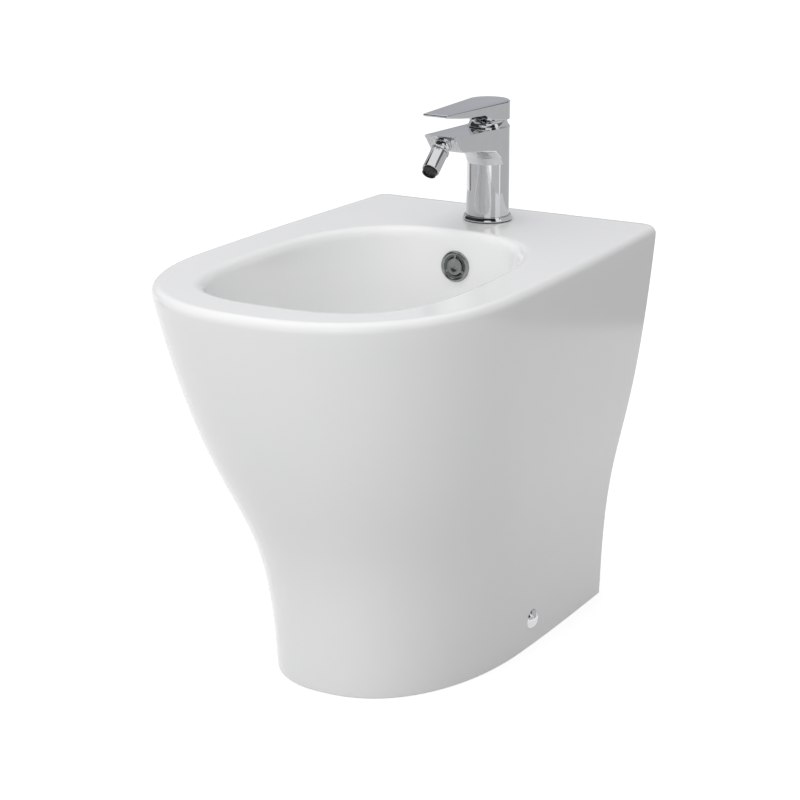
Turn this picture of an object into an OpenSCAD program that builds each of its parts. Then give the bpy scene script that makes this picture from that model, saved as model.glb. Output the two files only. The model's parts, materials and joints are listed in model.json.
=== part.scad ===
// Floor standing bidet, back to wall: a ceramic body with a single lever mixer that has a ball
// jointed aerator, a push waste, a bottle trap inside the pedestal, and two side floor fixings.
// Frame: +Z up, the front faces -Y, the wall side faces +Y. The origin is the centre of the
// bounding box, on the floor.

/* [Ceramic body] */
// Width at the widest part of the rim
body_w = 352; // [335:1:380]
// Depth from the wall to the front of the rim
body_d = 529; // [515:1:560]
// Height of the flat deck above the floor
body_h = 406; // [395:1:430]
// Width of the rim at the wall
rim_back_w = 329; // [310:1:334]
// Distance from the wall to the widest part of the rim
rim_widest = 333; // [300:1:360]
// Radius of the outer edge of the rim
rim_r = 8; // [5:0.5:10]
// Thickness of the ceramic walls
wall_t = 11; // [9:0.5:13]
// Thickness of the ceramic deck
deck_t = 14; // [12:0.5:18]
// Radius of the two upright corners at the wall
corner_r = 7; // [4:0.5:12]
// Squareness of the rim's outline across its width, 2 is an ellipse
plan_side_n = 2.33; // [2:0.01:2.8]
// Squareness of the rim's outline along its depth, 2 is an ellipse
plan_front_n = 2.19; // [2:0.01:2.8]

/* [Foot] */
// Width of the foot at its widest
foot_w = 232; // [215:1:260]
// Width of the foot at the wall
foot_back_w = 221; // [205:1:230]
// Depth of the foot
foot_d = 389; // [360:1:420]
// Distance from the wall to the widest part of the foot
foot_widest = 200; // [170:1:240]
// Height over which the foot stays nearly upright, as the lower handle of the flare
flare_low = 200; // [150:1:230]
// Height over which the flare settles into the rim, as its upper handle
flare_high = 254; // [200:1:280]
// Outward lean of the front at the floor, in degrees
foot_lean_front = 3.9; // [0:0.1:8]
// Outward lean of the sides at the floor, in degrees
foot_lean_side = 1.7; // [0:0.1:6]
// Outward lean of the front under the rim, in degrees
rim_lean_front = 16.9; // [8:0.1:22]
// Outward lean of the sides under the rim, in degrees
rim_lean_side = 6; // [3:0.1:12]
// Width of the opening in the back wall
back_opening_w = 180; // [150:1:195]
// Height of the opening in the back wall
back_opening_h = 330; // [250:1:350]
// Radius of the upper corners of the opening in the back wall
back_opening_r = 30; // [10:1:50]

/* [Bowl] */
// Width of the bowl's mouth
bowl_w = 261; // [240:1:268]
// Distance from the wall to the back of the bowl's mouth
bowl_back = 118; // [112:1:130]
// Distance from the wall to the widest part of the bowl
bowl_widest = 320; // [290:1:340]
// Width of the deck between the bowl's mouth and the front of the rim
rim_front_w = 44; // [40:1:60]
// Squareness of the bowl's back half, 2 is an ellipse
bowl_back_n = 2.7; // [2:0.05:3.2]
// Squareness of the bowl's front half, 2 is an ellipse
bowl_front_n = 2.5; // [2:0.05:3.2]
// Radius of the soft edge round the bowl's mouth
bowl_edge_r = 10; // [6:0.5:12]
// Slope of the bowl's upper wall from upright, in degrees
bowl_draft = 3; // [1:0.5:6]
// Depth below the deck at which the wall starts to curve in
bowl_wall_depth = 60; // [56:1:75]
// Depth of the waste seat below the deck
bowl_depth = 150; // [140:1:165]
// Fullness of the bowl's lower curve, 1 is an ellipse and less is fuller
bowl_fullness = 0.8; // [0.6:0.05:1]
// Distance from the wall to the axis of the waste
drain_from_wall = 265; // [250:1:290]
// Diameter of the waste hole
drain_hole_d = 46; // [44:0.5:48]
// Radius of the flat seat round the waste hole
drain_seat_r = 35; // [33:0.5:38]
// Height of the thick boss round the waste hole
drain_boss_h = 34; // [32:1:40]

/* [Overflow] */
// Depth of the overflow hole's axis below the deck
overflow_depth = 36; // [33:0.5:38]
// Diameter of the overflow hole
overflow_hole_d = 24; // [20:0.5:25]
// Outer diameter of the chrome overflow cover
overflow_cover_d = 32; // [30:0.5:34]
// How far the overflow cover stands out of the bowl's wall
overflow_cover_t = 3.2; // [2.5:0.1:4.5]
// Depth of the overflow channel cast in the ceramic
channel_depth = 12; // [10:0.5:14]
// Width of the overflow channel
channel_w = 20; // [14:0.5:24]
// Thickness of the ceramic round the overflow channel
channel_wall = 6; // [5:0.5:8]

/* [Tap] */
// Distance from the wall to the axis of the tap
tap_from_wall = 60; // [56:0.5:66]
// Diameter of the tap hole
tap_hole_d = 35; // [33:0.5:36]
// Diameter of the tap's column
column_d = 44; // [43:0.5:48]
// Height of the top of the column above the deck
column_h = 97; // [95:0.5:110]
// Outer diameter of the ring at the foot of the tap
base_ring_d = 51; // [50:0.5:56]
// Height of the ring at the foot of the tap
base_ring_h = 5.5; // [4.5:0.5:8]
// Distance from the tap's axis to the tip of the spout
spout_reach = 104.5; // [98:0.5:120]
// Width of the spout at its tip
spout_tip_w = 34; // [31:0.5:40]
// How much higher the top of the spout's tip is than the column
spout_rise = 5.5; // [4:0.5:8]
// Upright thickness of the spout at its tip
spout_tip_t = 17.5; // [17.5:0.5:20]
// Height of the spout's underside where it meets the column
spout_root_h = 72.5; // [64:0.5:75]
// Radius of the fillet from the spout's underside into the column
spout_fillet_r = 8; // [4:0.5:12]

/* [Lever] */
// Distance from the tap's axis to the tip of the lever
lever_reach = 113; // [100:1:130]
// Width of the lever at its tip
lever_tip_w = 28; // [24:0.5:34]
// Height of the lever's block above the top of the column
lever_gap = 8; // [7.5:0.5:12]
// Thickness of the lever at its tip
lever_tip_t = 2.8; // [2.6:0.1:4]
// Height of the round block at the lever's root
lever_block_h = 18.4; // [17.5:0.1:26]
// How much higher the lever's top is at its tip than at its root
lever_rise = 1.8; // [0:0.1:3]
// Distance from the axis at which the lever's underside stops rising steeply
lever_knee = 44; // [40:1:55]
// Thickness of the lever where its underside stops rising steeply
lever_knee_t = 8; // [7.5:0.1:10]
// Distance from the axis at which the lever's underside bends up to its thin tip
lever_bend = 82; // [70:1:95]
// Thickness of the lever where its underside bends up to its thin tip
lever_bend_t = 5.6; // [5:0.1:7.5]

/* [Cartridge] */
// Diameter of the cartridge
cartridge_d = 35; // [34:0.5:35.5]
// Distance from the pivot down to the stem's ball end
stem_arm = 12; // [11.5:0.25:12.5]
// Side of the stem's square
stem_w = 8; // [7:0.5:8.5]
// Radius of the cartridge's pivot pin
pivot_pin_r = 1.5; // [1:0.25:1.75]
// Radius of the dome over the cartridge
dome_r = 21.5; // [20.5:0.25:21.75]

/* [Aerator] */
// Drop of the aerator below level, in degrees
aerator_drop = 40; // [36:1:45]
// Diameter of the swivel ball
ball_d = 16; // [15:0.25:16.25]
// Diameter of the aerator's housing
aerator_d = 17.6; // [16:0.2:19]
// Distance from the ball's centre to the end of the housing
aerator_reach = 34; // [30:0.5:38]
// How far the black insert stands out of the housing
insert_out = 4; // [2:0.5:5]

/* [Waste] */
// Outer diameter of the waste's flange
flange_d = 63; // [60:0.5:65]
// Outer diameter of the waste's threaded tail
tail_d = 41.9; // [40:0.1:42.2]
// Inner diameter of the waste's tail
tail_bore_d = 36; // [34:0.5:37]

/* [Trap] */
// Height of the waste outlet's axis above the floor
outlet_h = 120; // [114:1:124]
// Outer diameter of the waste pipe
pipe_d = 32; // [31:0.5:32.5]
// Wall of the waste pipe
pipe_t = 1.5; // [1:0.25:2]
// Outer diameter of the trap's cup
cup_d = 57; // [56:0.5:64]
// Height of the bottom of the trap's cup above the floor
cup_bottom_h = 38; // [20:1:42]
// Depth of the water that seals the trap
water_seal = 50; // [45:1:54]

/* [Floor fixing] */
// Distance from the wall to the side fixings
fixing_from_wall = 179; // [165:1:195]
// Height of the side fixings above the floor
fixing_h = 29; // [26:0.5:34]
// Diameter of the side fixing holes in the foot
fixing_hole_d = 12; // [10:0.5:13]
// Diameter of the side screws
side_screw_d = 6; // [5:0.5:7]
// Outer diameter of the domed caps
cap_d = 20; // [18:0.5:22]
// How far the domed caps stand out
cap_h = 6; // [5:0.5:8]
// Distance between the two floor screws
floor_screw_gap = 150; // [140:1:160]
// Diameter of the floor screw holes
floor_screw_d = 8; // [6:0.5:9]

/* [Hidden] */
$fn = 64;

// Gap left between pieces that are assembled loosely
fit_gap = 0.3;
// Radial clearance of a pin or shaft that turns or slides in its hole
run_gap = 0.05;
// How far a cutting shape passes the face that it cuts
cut = 1;
// Facets of the small shapes inside a hull
hull_fn = 32;
tip_fn = 20;

wall_y = body_d / 2;
tap_y = wall_y - tap_from_wall;
drain_y = wall_y - drain_from_wall;
fixing_y = wall_y - fixing_from_wall;
seat_z = body_h - bowl_depth;
bowl_front = body_d - rim_front_w;

china = [0.93, 0.93, 0.92];
chrome = [0.78, 0.8, 0.82];
brass = [0.78, 0.65, 0.36];
steel = [0.66, 0.67, 0.68];
rubber = [0.12, 0.12, 0.12];
white_plastic = [0.9, 0.9, 0.88];
grey_plastic = [0.55, 0.57, 0.58];
black_plastic = [0.06, 0.06, 0.06];
alumina = [0.86, 0.82, 0.78];

// ---- Curves and rings ------------------------------------------------------------------------

// Segments of half a ring: along the back, round its corner, along the side, round the front
back_n = 3;
corner_n = 3;
side_n = 7;
front_n = 18;
rear_n = back_n + corner_n + side_n;
half_n = rear_n + front_n;
ring_n = 2 * half_n;

function mix(a, b, t) = a + (b - a) * t;

function bezier(p, u) =
    p[0] * pow(1 - u, 3) + 3 * p[1] * u * pow(1 - u, 2) + 3 * p[2] * pow(u, 2) * (1 - u)
    + p[3] * pow(u, 3);

// Half an outline of the body, as [x, distance from the wall], from the middle of the back to
// the middle of the front: a flat back, a rounded corner, a bowed side and a superellipse front.
function body_half(back_hw, hw, depth, widest, back, corner) = concat(
    [for (i = [0:back_n - 1]) [(back_hw - corner) * i / back_n, back]],
    [for (i = [0:corner_n - 1]) let (a = 90 * i / corner_n)
        [back_hw - corner + corner * sin(a), back + corner - corner * cos(a)]],
    [for (i = [0:side_n - 1]) let (t = i / side_n)
        [mix(back_hw, hw, sin(90 * t)), mix(back + corner, widest, t)]],
    [for (i = [0:front_n]) let (a = 90 * i / front_n)
        [hw * pow(cos(a), 2 / plan_side_n), widest + (depth - widest) * pow(sin(a), 2 / plan_front_n)]]
);

// Half an oval with its own squareness behind and before its widest line
function oval_half(hw, back, widest, front, n_back, n_front) = concat(
    [for (i = [0:rear_n - 1]) let (a = 90 * (1 - i / rear_n))
        [hw * pow(cos(a), 2 / n_back), widest - (widest - back) * pow(sin(a), 2 / n_back)]],
    [for (i = [0:front_n]) let (a = 90 * i / front_n)
        [hw * pow(cos(a), 2 / n_front), widest + (front - widest) * pow(sin(a), 2 / n_front)]]
);

function round_half(r) =
    oval_half(r, drain_from_wall - r, drain_from_wall, drain_from_wall + r, 2, 2);

// A whole ring of points at height z from half an outline
function ring(half, z) = concat(
    [for (p = half) [p[0], wall_y - p[1], z]],
    [for (i = [half_n - 1:-1:1]) [-half[i][0], wall_y - half[i][1], z]]
);

// A closed solid through a loop of rings, the last one joined to the first
module ring_loop(rings) {
    n = len(rings);
    points = [for (r = rings) each r];
    faces = [for (j = [0:n - 1], i = [0:ring_n - 1])
        let (k = (j + 1) % n, m = (i + 1) % ring_n)
        each [
            [j * ring_n + i, k * ring_n + m, k * ring_n + i],
            [j * ring_n + i, j * ring_n + m, k * ring_n + m]
        ]];
    polyhedron(points, faces, convexity = 10);
}

// ---- Ceramic ---------------------------------------------------------------------------------

// Rings up the outer wall, round the rim's edge, round the bowl's mouth, down the bowl's lower
// curve and down the inner wall
wall_rings = 14;
edge_rings = 4;
mouth_rings = 4;
lower_rings = 8;
inner_rings = 8;

// The flare: height, depth and half width along the outer wall, from the floor to the rim
flare_top_z = body_h - rim_r - rim_r * sin(rim_lean_front);
flare_top_d = body_d - rim_r + rim_r * cos(rim_lean_front);
flare_top_hw = body_w / 2 - rim_r + rim_r * cos(rim_lean_side);
flare_z = [0, flare_low, flare_top_z - flare_high, flare_top_z];
flare_d = [
    foot_d, foot_d + flare_low * tan(foot_lean_front),
    flare_top_d - flare_high * tan(rim_lean_front), flare_top_d
];
flare_hw = [
    foot_w / 2, foot_w / 2 + flare_low * tan(foot_lean_side),
    flare_top_hw - flare_high * tan(rim_lean_side), flare_top_hw
];

function flare_share(u) = (bezier(flare_hw, u) - foot_w / 2) / (body_w / 2 - foot_w / 2);

// Half an outline of the outer wall at u along the flare, moved inwards by inset
function wall_half(u, inset, back) =
    let (share = flare_share(u), hw = bezier(flare_hw, u))
    body_half(
        mix(foot_back_w, rim_back_w, share) / 2 - inset, hw - inset, bezier(flare_d, u) - inset,
        mix(foot_widest, rim_widest, share), back, corner_r
    );

// Half an outline of the rim's rounded edge at angle a, which is 90 degrees on the deck
function edge_half(a) =
    let (out = rim_r * (cos(a) - 1))
    body_half(
        rim_back_w / 2 + out, body_w / 2 + out, body_d + out, rim_widest, 0, corner_r
    );

// Inset of the bowl's wall from its mouth at a depth below the deck
function bowl_inset(depth) = bowl_edge_r + (depth - bowl_edge_r) * tan(bowl_draft);

// Half an outline of the bowl, inset from its mouth
function bowl_half(inset) = oval_half(
    bowl_w / 2 - inset, bowl_back + inset, bowl_widest, bowl_front - inset,
    bowl_back_n, bowl_front_n
);

// Ring v along the bowl's lower curve, 0 at the upright wall and 1 at the seat, on a surface
// that lies t outside the bowl's own
function lower_ring(v, t) =
    let (
        wide = bowl_half(bowl_inset(bowl_wall_depth) - t),
        seat = round_half(drain_seat_r + t),
        inward = 1 - pow(cos(90 * v), bowl_fullness),
        down = pow(sin(90 * v), bowl_fullness),
        depth = mix(bowl_wall_depth, bowl_depth + t, down)
    )
    ring([for (i = [0:half_n]) mix(wide[i], seat[i], inward)], body_h - depth);

// The casting is made in three pieces that meet face to face under the deck: the deck with its
// rim, the bowl that hangs from it, and the skirt that carries it
joint_z = body_h - deck_t;
joint_u = flare_u(joint_z, 0, 1, 40);

deck_rings = concat(
    [ring(wall_half(joint_u, 0, 0), joint_z)],
    [ring(wall_half(1, 0, 0), flare_top_z)],
    [for (i = [1:edge_rings]) let (a = mix(-rim_lean_front, 90, i / edge_rings))
        ring(edge_half(a), body_h - rim_r + rim_r * sin(a))],
    [for (i = [0:mouth_rings]) let (a = (90 - bowl_draft) * i / mouth_rings)
        ring(bowl_half(bowl_edge_r * sin(a)), body_h - bowl_edge_r * (1 - cos(a)))],
    [ring(bowl_half(bowl_inset(deck_t)), joint_z)]
);

bowl_rings = concat(
    [ring(bowl_half(bowl_inset(deck_t)), joint_z)],
    [for (i = [0:lower_rings]) lower_ring(i / lower_rings, 0)],
    [ring(round_half(drain_hole_d / 2 - wall_t / 2), seat_z)],
    [ring(round_half(drain_hole_d / 2 - wall_t / 2), seat_z - drain_boss_h)],
    [ring(round_half(drain_seat_r + wall_t), seat_z - drain_boss_h)],
    [for (i = [lower_rings:-1:0]) lower_ring(i / lower_rings, wall_t)],
    [ring(bowl_half(bowl_inset(deck_t) - wall_t), joint_z)]
);

skirt_rings = concat(
    [for (i = [0:wall_rings - 1]) let (u = joint_u * i / wall_rings)
        ring(wall_half(u, 0, 0), bezier(flare_z, u))],
    [ring(wall_half(joint_u, 0, 0), joint_z)],
    [ring(wall_half(1, wall_t, wall_t), joint_z)],
    [for (i = [inner_rings - 1:-1:0])
        ring(wall_half(i / inner_rings, wall_t, wall_t), bezier(flare_z, i / inner_rings))]
);

// The overflow channel's run in the middle plane, as [y, z] points that lie t outside the bowl:
// from a depth below the deck down behind the bowl's back wall, round its lower curve and in to
// the waste hole
function channel_line(t, top) = concat(
    [[wall_y - bowl_back - bowl_inset(top) + t, body_h - top]],
    [for (i = [0:lower_rings]) let (p = lower_ring(i / lower_rings, t)[0]) [p[1], p[2]]],
    [[drain_y, seat_z - t]]
);

// Depth below the deck at which the channel starts, just above the overflow hole
channel_top = overflow_depth - overflow_hole_d / 2 + 1;

// A slab of width w between two lines that lie a and b outside the bowl
module channel_slab(a, b, w, top) {
    far = channel_line(b, top);
    outline = concat(channel_line(a, top), [for (i = [len(far) - 1:-1:0]) far[i]]);
    translate([-w / 2, 0, 0]) rotate([90, 0, 90]) linear_extrude(w) polygon(outline);
}

// Places its children on the bowl's back wall at the overflow, with +Z out of the wall
overflow_y = wall_y - bowl_back - bowl_inset(overflow_depth);
module at_overflow() {
    translate([0, overflow_y, body_h - overflow_depth]) rotate([90 - bowl_draft, 0, 0]) children();
}

// Places its children at the tap's axis on the deck
module at_tap() {
    translate([0, tap_y, body_h]) children();
}

// Places its children at the waste seat
module at_drain() {
    translate([0, drain_y, seat_z]) children();
}

// Half width of the foot's outer wall at the side fixings
fixing_u = flare_u(fixing_h, 0, 1, 12);
fixing_x = side_x(fixing_u, fixing_from_wall);

// Share u of the flare at height z, found by halving
function flare_u(z, low, high, steps) = let (u = (low + high) / 2)
    steps == 0 ? u : bezier(flare_z, u) < z ? flare_u(z, u, high, steps - 1)
    : flare_u(z, low, u, steps - 1);

// Half width of the outer wall at u along the flare and y from the wall, on its straight side
function side_x(u, y) =
    let (
        share = flare_share(u),
        back = mix(foot_back_w, rim_back_w, share) / 2,
        t = (y - corner_r) / (mix(foot_widest, rim_widest, share) - corner_r)
    )
    mix(back, bezier(flare_hw, u), sin(90 * min(1, t)));

// Depth of the flat faced round each side fixing hole
spot_depth = 0.6;
spot_x = fixing_x - spot_depth;

// Places its children on the right and left side fixings, with +Z outwards at the spot face
module at_fixings() {
    for (side = [-1, 1])
        translate([side * spot_x, fixing_y, fixing_h]) rotate([0, side * 90, 0]) children();
}

module back_opening() {
    straight = back_opening_h - back_opening_r;
    translate([0, wall_y + cut, 0]) rotate([90, 0, 0]) linear_extrude(wall_t + 2 * cut) {
        translate([-back_opening_w / 2, -cut]) square([back_opening_w, straight + cut]);
        translate([back_opening_r - back_opening_w / 2, straight - cut])
            square([back_opening_w - 2 * back_opening_r, back_opening_r + cut]);
        for (side = [-1, 1])
            translate([side * (back_opening_w / 2 - back_opening_r), straight])
                circle(back_opening_r);
    }
}

module ceramic_deck() {
    color(china) difference() {
        ring_loop(deck_rings);
        at_tap() translate([0, 0, -deck_t - cut])
            cylinder(d = tap_hole_d, h = deck_t + 2 * cut);
    }
}

module ceramic_bowl() {
    color(china) difference() {
        union() {
            ring_loop(bowl_rings);
            channel_slab(wall_t - cut, wall_t + channel_depth + channel_wall,
                channel_w + 2 * channel_wall, deck_t);
        }
        channel_slab(wall_t, wall_t + channel_depth, channel_w, channel_top);
        at_overflow() {
            translate([0, 0, -wall_t - channel_depth / 2])
                cylinder(d = overflow_hole_d, h = wall_t + channel_depth / 2 + cut);
            cylinder(d = overflow_cover_d + fit_gap, h = overflow_cover_t);
        }
        at_drain() translate([0, 0, -drain_boss_h - cut])
            cylinder(d = drain_hole_d, h = drain_boss_h + 2 * cut);
    }
}

module ceramic_skirt() {
    color(china) difference() {
        ring_loop(skirt_rings);
        at_fixings() {
            translate([0, 0, -wall_t - 2 * cut])
                cylinder(d = fixing_hole_d, h = wall_t + 4 * cut);
            cylinder(d = cap_d + 2 * fit_gap, h = 4 * cut);
        }
        back_opening();
    }
}

// ---- Overflow --------------------------------------------------------------------------------

sleeve_r = overflow_hole_d / 2 - fit_gap;
sleeve_t = 1.2;
cover_lip_r = overflow_cover_d / 2;
cover_mouth_r = 11.5;
cover_disc_r = 8.4;
cover_spoke_w = 2.4;

// Chrome ring with a dished disc held by three spokes
module overflow_cover() {
    color(chrome) at_overflow() {
        rotate_extrude() polygon([
            [cover_mouth_r, 0], [cover_lip_r - 0.5, 0], [cover_lip_r, 0.5],
            [cover_lip_r - 0.4, 1.4], [cover_lip_r - 1.4, overflow_cover_t - 0.5],
            [cover_lip_r - 2.4, overflow_cover_t], [cover_mouth_r + 0.6, overflow_cover_t - 0.8],
            [cover_mouth_r, overflow_cover_t - 1.6]
        ]);
        difference() {
            cylinder(r = cover_disc_r, h = 2.2);
            translate([0, 0, 15.2]) sphere(r = 14);
        }
        for (i = [0:2]) rotate(90 + 120 * i)
            translate([cover_disc_r - 0.6, -cover_spoke_w / 2, 0])
                cube([cover_mouth_r - cover_disc_r + 1.2, cover_spoke_w, 1.2]);
    }
}

// Plastic sleeve that lines the overflow hole and holds the cover
module overflow_sleeve() {
    depth = wall_t - cut;
    color(grey_plastic) at_overflow() translate([0, 0, -depth]) difference() {
        cylinder(r = sleeve_r, h = depth);
        translate([0, 0, -cut]) cylinder(r = sleeve_r - sleeve_t, h = depth + 2 * cut);
    }
}

// ---- Tap body --------------------------------------------------------------------------------

column_r = column_d / 2;
ring_r = base_ring_d / 2;
base_seal_t = 1;
ring_lip_t = 1.5;
ring_lip_w = 4;
column_foot = base_seal_t + ring_lip_t;
edge_r = 1.2;

// Cartridge levels, as heights above the lever's pivot
pivot_drop = 5;
pivot_h = column_h - pivot_drop;
neck_top = -2;
shoulder_z = -8;
cavity_top = -9;
carrier_top = -11;
carrier_z = -16.5;
moving_z = -20;
fixed_z = -24;
base_z = -36;
floor_z = -37;

cartridge_r = cartridge_d / 2;
chamber_r = cartridge_r + 0.1;
nut_bore_r = column_r - 3;
inlet_r = 4.45;
inlet_x = 7;
inlet_y = -5;
inlet_thread = 12;
waterway_r = 3;
port_z = -13;
stud_r = 4;
stud_y = 8.5;
stud_grip = 15;
stud_drop = 60;
dome_flange_r = column_r - edge_r / 2;
dome_flange_t = 1.2;

spout_tip_h = column_h + spout_rise;
spout_undercut = spout_tip_t * tan(aerator_drop);

// The ball's centre lies in the spout's face, a little below its middle
ball_r = ball_d / 2;
ball_down = 1;
ball_y = -spout_reach + spout_undercut / 2 + ball_down * sin(aerator_drop);
ball_z = spout_tip_h - spout_tip_t / 2 - ball_down * cos(aerator_drop);
seat_sphere_r = ball_r + run_gap;
seat_ring_r = 3.2;
seat_back = 8.2;
retainer_r = 9;
retainer_in = 1;
retainer_out = 1.8;
spout_way_r = 2.2;

// Start of the waterway behind the ball's seat and its end in the chamber, as [y, z]
way_start = [ball_y + seat_back * cos(aerator_drop), ball_z + seat_back * sin(aerator_drop)];
way_end = [2 - chamber_r, pivot_h + port_z];
way_run = way_end - way_start;

// Places its children on the lever's pivot
module at_pivot() {
    at_tap() translate([0, 0, pivot_h]) children();
}

// Places its children at the swivel ball's centre, with +Z down the aerator
module at_ball() {
    at_tap() translate([0, ball_y, ball_z]) rotate([90 + aerator_drop, 0, 0]) children();
}

// Prism of width w across X through a side view, given as [y, z] points
module side_prism(points, w) {
    translate([-w / 2, 0, 0]) rotate([90, 0, 90]) linear_extrude(w) polygon(points);
}

module ring_solid(r_in, r_out, h) {
    difference() {
        cylinder(r = r_out, h = h);
        translate([0, 0, -cut]) cylinder(r = r_in, h = h + 2 * cut);
    }
}

module spout_solid() {
    tip_x = spout_tip_w / 2 - edge_r;
    hull() {
        translate([0, 0, spout_root_h])
            cylinder(r = column_r - 0.4, h = column_h - spout_root_h - fit_gap, $fn = 2 * hull_fn);
        for (x = [-tip_x, tip_x]) {
            translate([x, edge_r - spout_reach, spout_tip_h - edge_r])
                sphere(edge_r, $fn = tip_fn);
            translate([x, edge_r - spout_reach + spout_undercut, spout_tip_h - spout_tip_t + edge_r])
                sphere(edge_r, $fn = tip_fn);
        }
    }
}

// Fillet between the column's front and the spout's underside: a flared ring round the column,
// kept inside the spout's plan
module spout_fillet() {
    r = spout_fillet_r;
    sink = fit_gap / 2;
    rise = atan2(spout_tip_h - spout_tip_t - spout_root_h, spout_reach - spout_undercut - column_r);
    low = spout_root_h + r * tan(rise) - r / cos(rise);
    tip_x = spout_tip_w / 2 - 2 * edge_r;
    intersection() {
        translate([0, 0, low]) rotate_extrude() difference() {
            square([column_r + r - sink, r + 2 * edge_r]);
            translate([column_r + r - sink, 0]) circle(r);
        }
        linear_extrude(column_h - fit_gap) polygon([
            [edge_r - column_r, 0], [column_r - edge_r, 0], [tip_x, -spout_reach], [-tip_x, -spout_reach]
        ]);
    }
}

// Cast column and spout, with the cartridge's chamber, the waterways and the ball's socket
module mixer_body() {
    color(chrome) at_tap() difference() {
        union() {
            rotate_extrude() polygon([
                [0, column_foot], [column_r, column_foot], [column_r, column_h - edge_r / 2],
                [column_r - edge_r / 2, column_h], [0, column_h]
            ]);
            spout_solid();
            spout_fillet();
        }
        translate([0, 0, column_h]) cylinder(r = dome_flange_r + fit_gap, h = spout_rise + cut);
        translate([0, 0, pivot_h + shoulder_z])
            cylinder(r = nut_bore_r, h = pivot_drop - shoulder_z + cut);
        translate([0, 0, pivot_h + floor_z])
            cylinder(r = chamber_r, h = pivot_drop - floor_z);
        for (x = [-inlet_x, inlet_x]) translate([x, inlet_y, 0]) {
            cylinder(r = inlet_r, h = column_foot + inlet_thread);
            cylinder(r = waterway_r, h = pivot_h + floor_z + cut);
        }
        translate([0, stud_y, 0]) cylinder(r = stud_r, h = column_foot + stud_grip);
        translate([0, ball_y, ball_z]) rotate([90 + aerator_drop, 0, 0]) {
            sphere(seat_sphere_r);
            translate([0, 0, -retainer_in]) cylinder(r = retainer_r, h = retainer_in + ball_r);
            translate([0, 0, -seat_back]) cylinder(r = seat_ring_r, h = seat_back);
        }
        translate([0, way_start[0], way_start[1]])
            rotate([atan2(way_run[1], way_run[0]) - 90, 0, 0]) translate([0, 0, -1])
                cylinder(r = spout_way_r, h = norm(way_run) + 1);
    }
}

// Chrome ring that the column stands in
module base_ring() {
    color(chrome) at_tap() rotate_extrude() polygon([
        [column_r - ring_lip_w, base_seal_t], [ring_r, base_seal_t],
        [ring_r, base_ring_h - 2], [ring_r - 1.2, base_ring_h - 0.8],
        [ring_r - 1.6, base_ring_h], [column_r + 0.5, base_ring_h],
        [column_r + 0.1, base_ring_h - 0.5], [column_r + 0.1, column_foot],
        [column_r - ring_lip_w, column_foot]
    ]);
}

// Rubber ring between the tap and the deck
module base_seal() {
    color(rubber) at_tap() ring_solid(column_r - ring_lip_w, ring_r - 1, base_seal_t);
}

// ---- Lever -----------------------------------------------------------------------------------

lever_r = column_r;
lever_foot = column_h + lever_gap;
lever_top = lever_foot + lever_block_h;
lever_tip_z = lever_top + lever_rise - lever_tip_t;
lever_knee_z = lever_top - lever_knee_t;
lever_bend_z = lever_top - lever_bend_t;
lever_start = lever_r - 2.6;
heel_y = 12;
heel_h = 6;
cavity_r = dome_r + 0.8;
stem_top = lever_top - 4;
socket_w = stem_w + 0.1;
screw_h = stem_top - 2.5;
screw_r = 2.5;
screw_len = 9;
plug_r = 3.5;
plug_t = 3.2;

// Flat slab lever with a round block at its root, hollow over the dome
module lever_handle() {
    tip_x = lever_tip_w / 2 - edge_r;
    wide = 2 * lever_r + 2 * cut;
    slope = (lever_tip_z - lever_bend_z) / (lever_reach - lever_bend);
    color(chrome) at_tap() difference() {
        hull() {
            translate([0, 0, lever_foot]) {
                cylinder(r = lever_r, h = lever_block_h - edge_r, $fn = 3 * hull_fn);
                cylinder(r = lever_r - edge_r, h = lever_block_h, $fn = 3 * hull_fn);
            }
            for (x = [-tip_x, tip_x], z = [lever_tip_z + edge_r, lever_tip_z + lever_tip_t - edge_r])
                translate([x, edge_r - lever_reach, z]) sphere(edge_r, $fn = hull_fn / 2);
        }
        side_prism([
            [-lever_start, lever_foot - cut], [-lever_start, lever_foot],
            [-lever_knee, lever_knee_z], [-lever_bend, lever_bend_z],
            [-lever_reach - cut, lever_tip_z + slope * cut], [-lever_reach - cut, lever_foot - cut]
        ], wide);
        side_prism([
            [heel_y, lever_foot - cut], [heel_y, lever_foot],
            [lever_r + cut, lever_foot + heel_h], [lever_r + cut, lever_foot - cut]
        ], wide);
        translate([0, 0, pivot_h]) sphere(cavity_r);
        translate([-socket_w / 2, -socket_w / 2, lever_foot])
            cube([socket_w, socket_w, stem_top + fit_gap - lever_foot]);
        translate([0, 0, screw_h]) rotate([-90, 0, 0]) {
            cylinder(r = screw_r + run_gap, h = lever_r + cut);
            translate([0, 0, lever_r - plug_t - fit_gap]) cylinder(r = plug_r, h = plug_t + 2 * cut);
        }
    }
}

// Grub screw that clamps the lever to its stem
module lever_screw() {
    color(steel) at_tap() translate([0, stem_w / 2 + run_gap, screw_h]) rotate([-90, 0, 0])
        difference() {
            cylinder(r = screw_r, h = screw_len);
            translate([0, 0, screw_len - 2.5]) cylinder(r = 1.4, h = 2.5 + cut, $fn = 6);
        }
}

// Plain cover over the grub screw
module screw_plug() {
    color(grey_plastic) at_tap() translate([0, lever_r - plug_t - fit_gap, screw_h])
        rotate([-90, 0, 0]) cylinder(r = plug_r - run_gap, h = plug_t);
}

// ---- Cartridge -------------------------------------------------------------------------------

dome_t = 1.2;
dome_mouth_r = 12;

// Chrome dome over the cartridge, centred on the lever's pivot
module cartridge_dome() {
    color(chrome) at_pivot() difference() {
        union() {
            intersection() {
                sphere(dome_r);
                translate([0, 0, pivot_drop]) cylinder(r = dome_r, h = dome_r);
            }
            translate([0, 0, pivot_drop]) cylinder(r = dome_flange_r, h = dome_flange_t);
        }
        sphere(dome_r - dome_t);
        cylinder(r = dome_mouth_r, h = dome_r + cut);
    }
}

nut_in_r = 14.6;
nut_h = 9;

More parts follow.
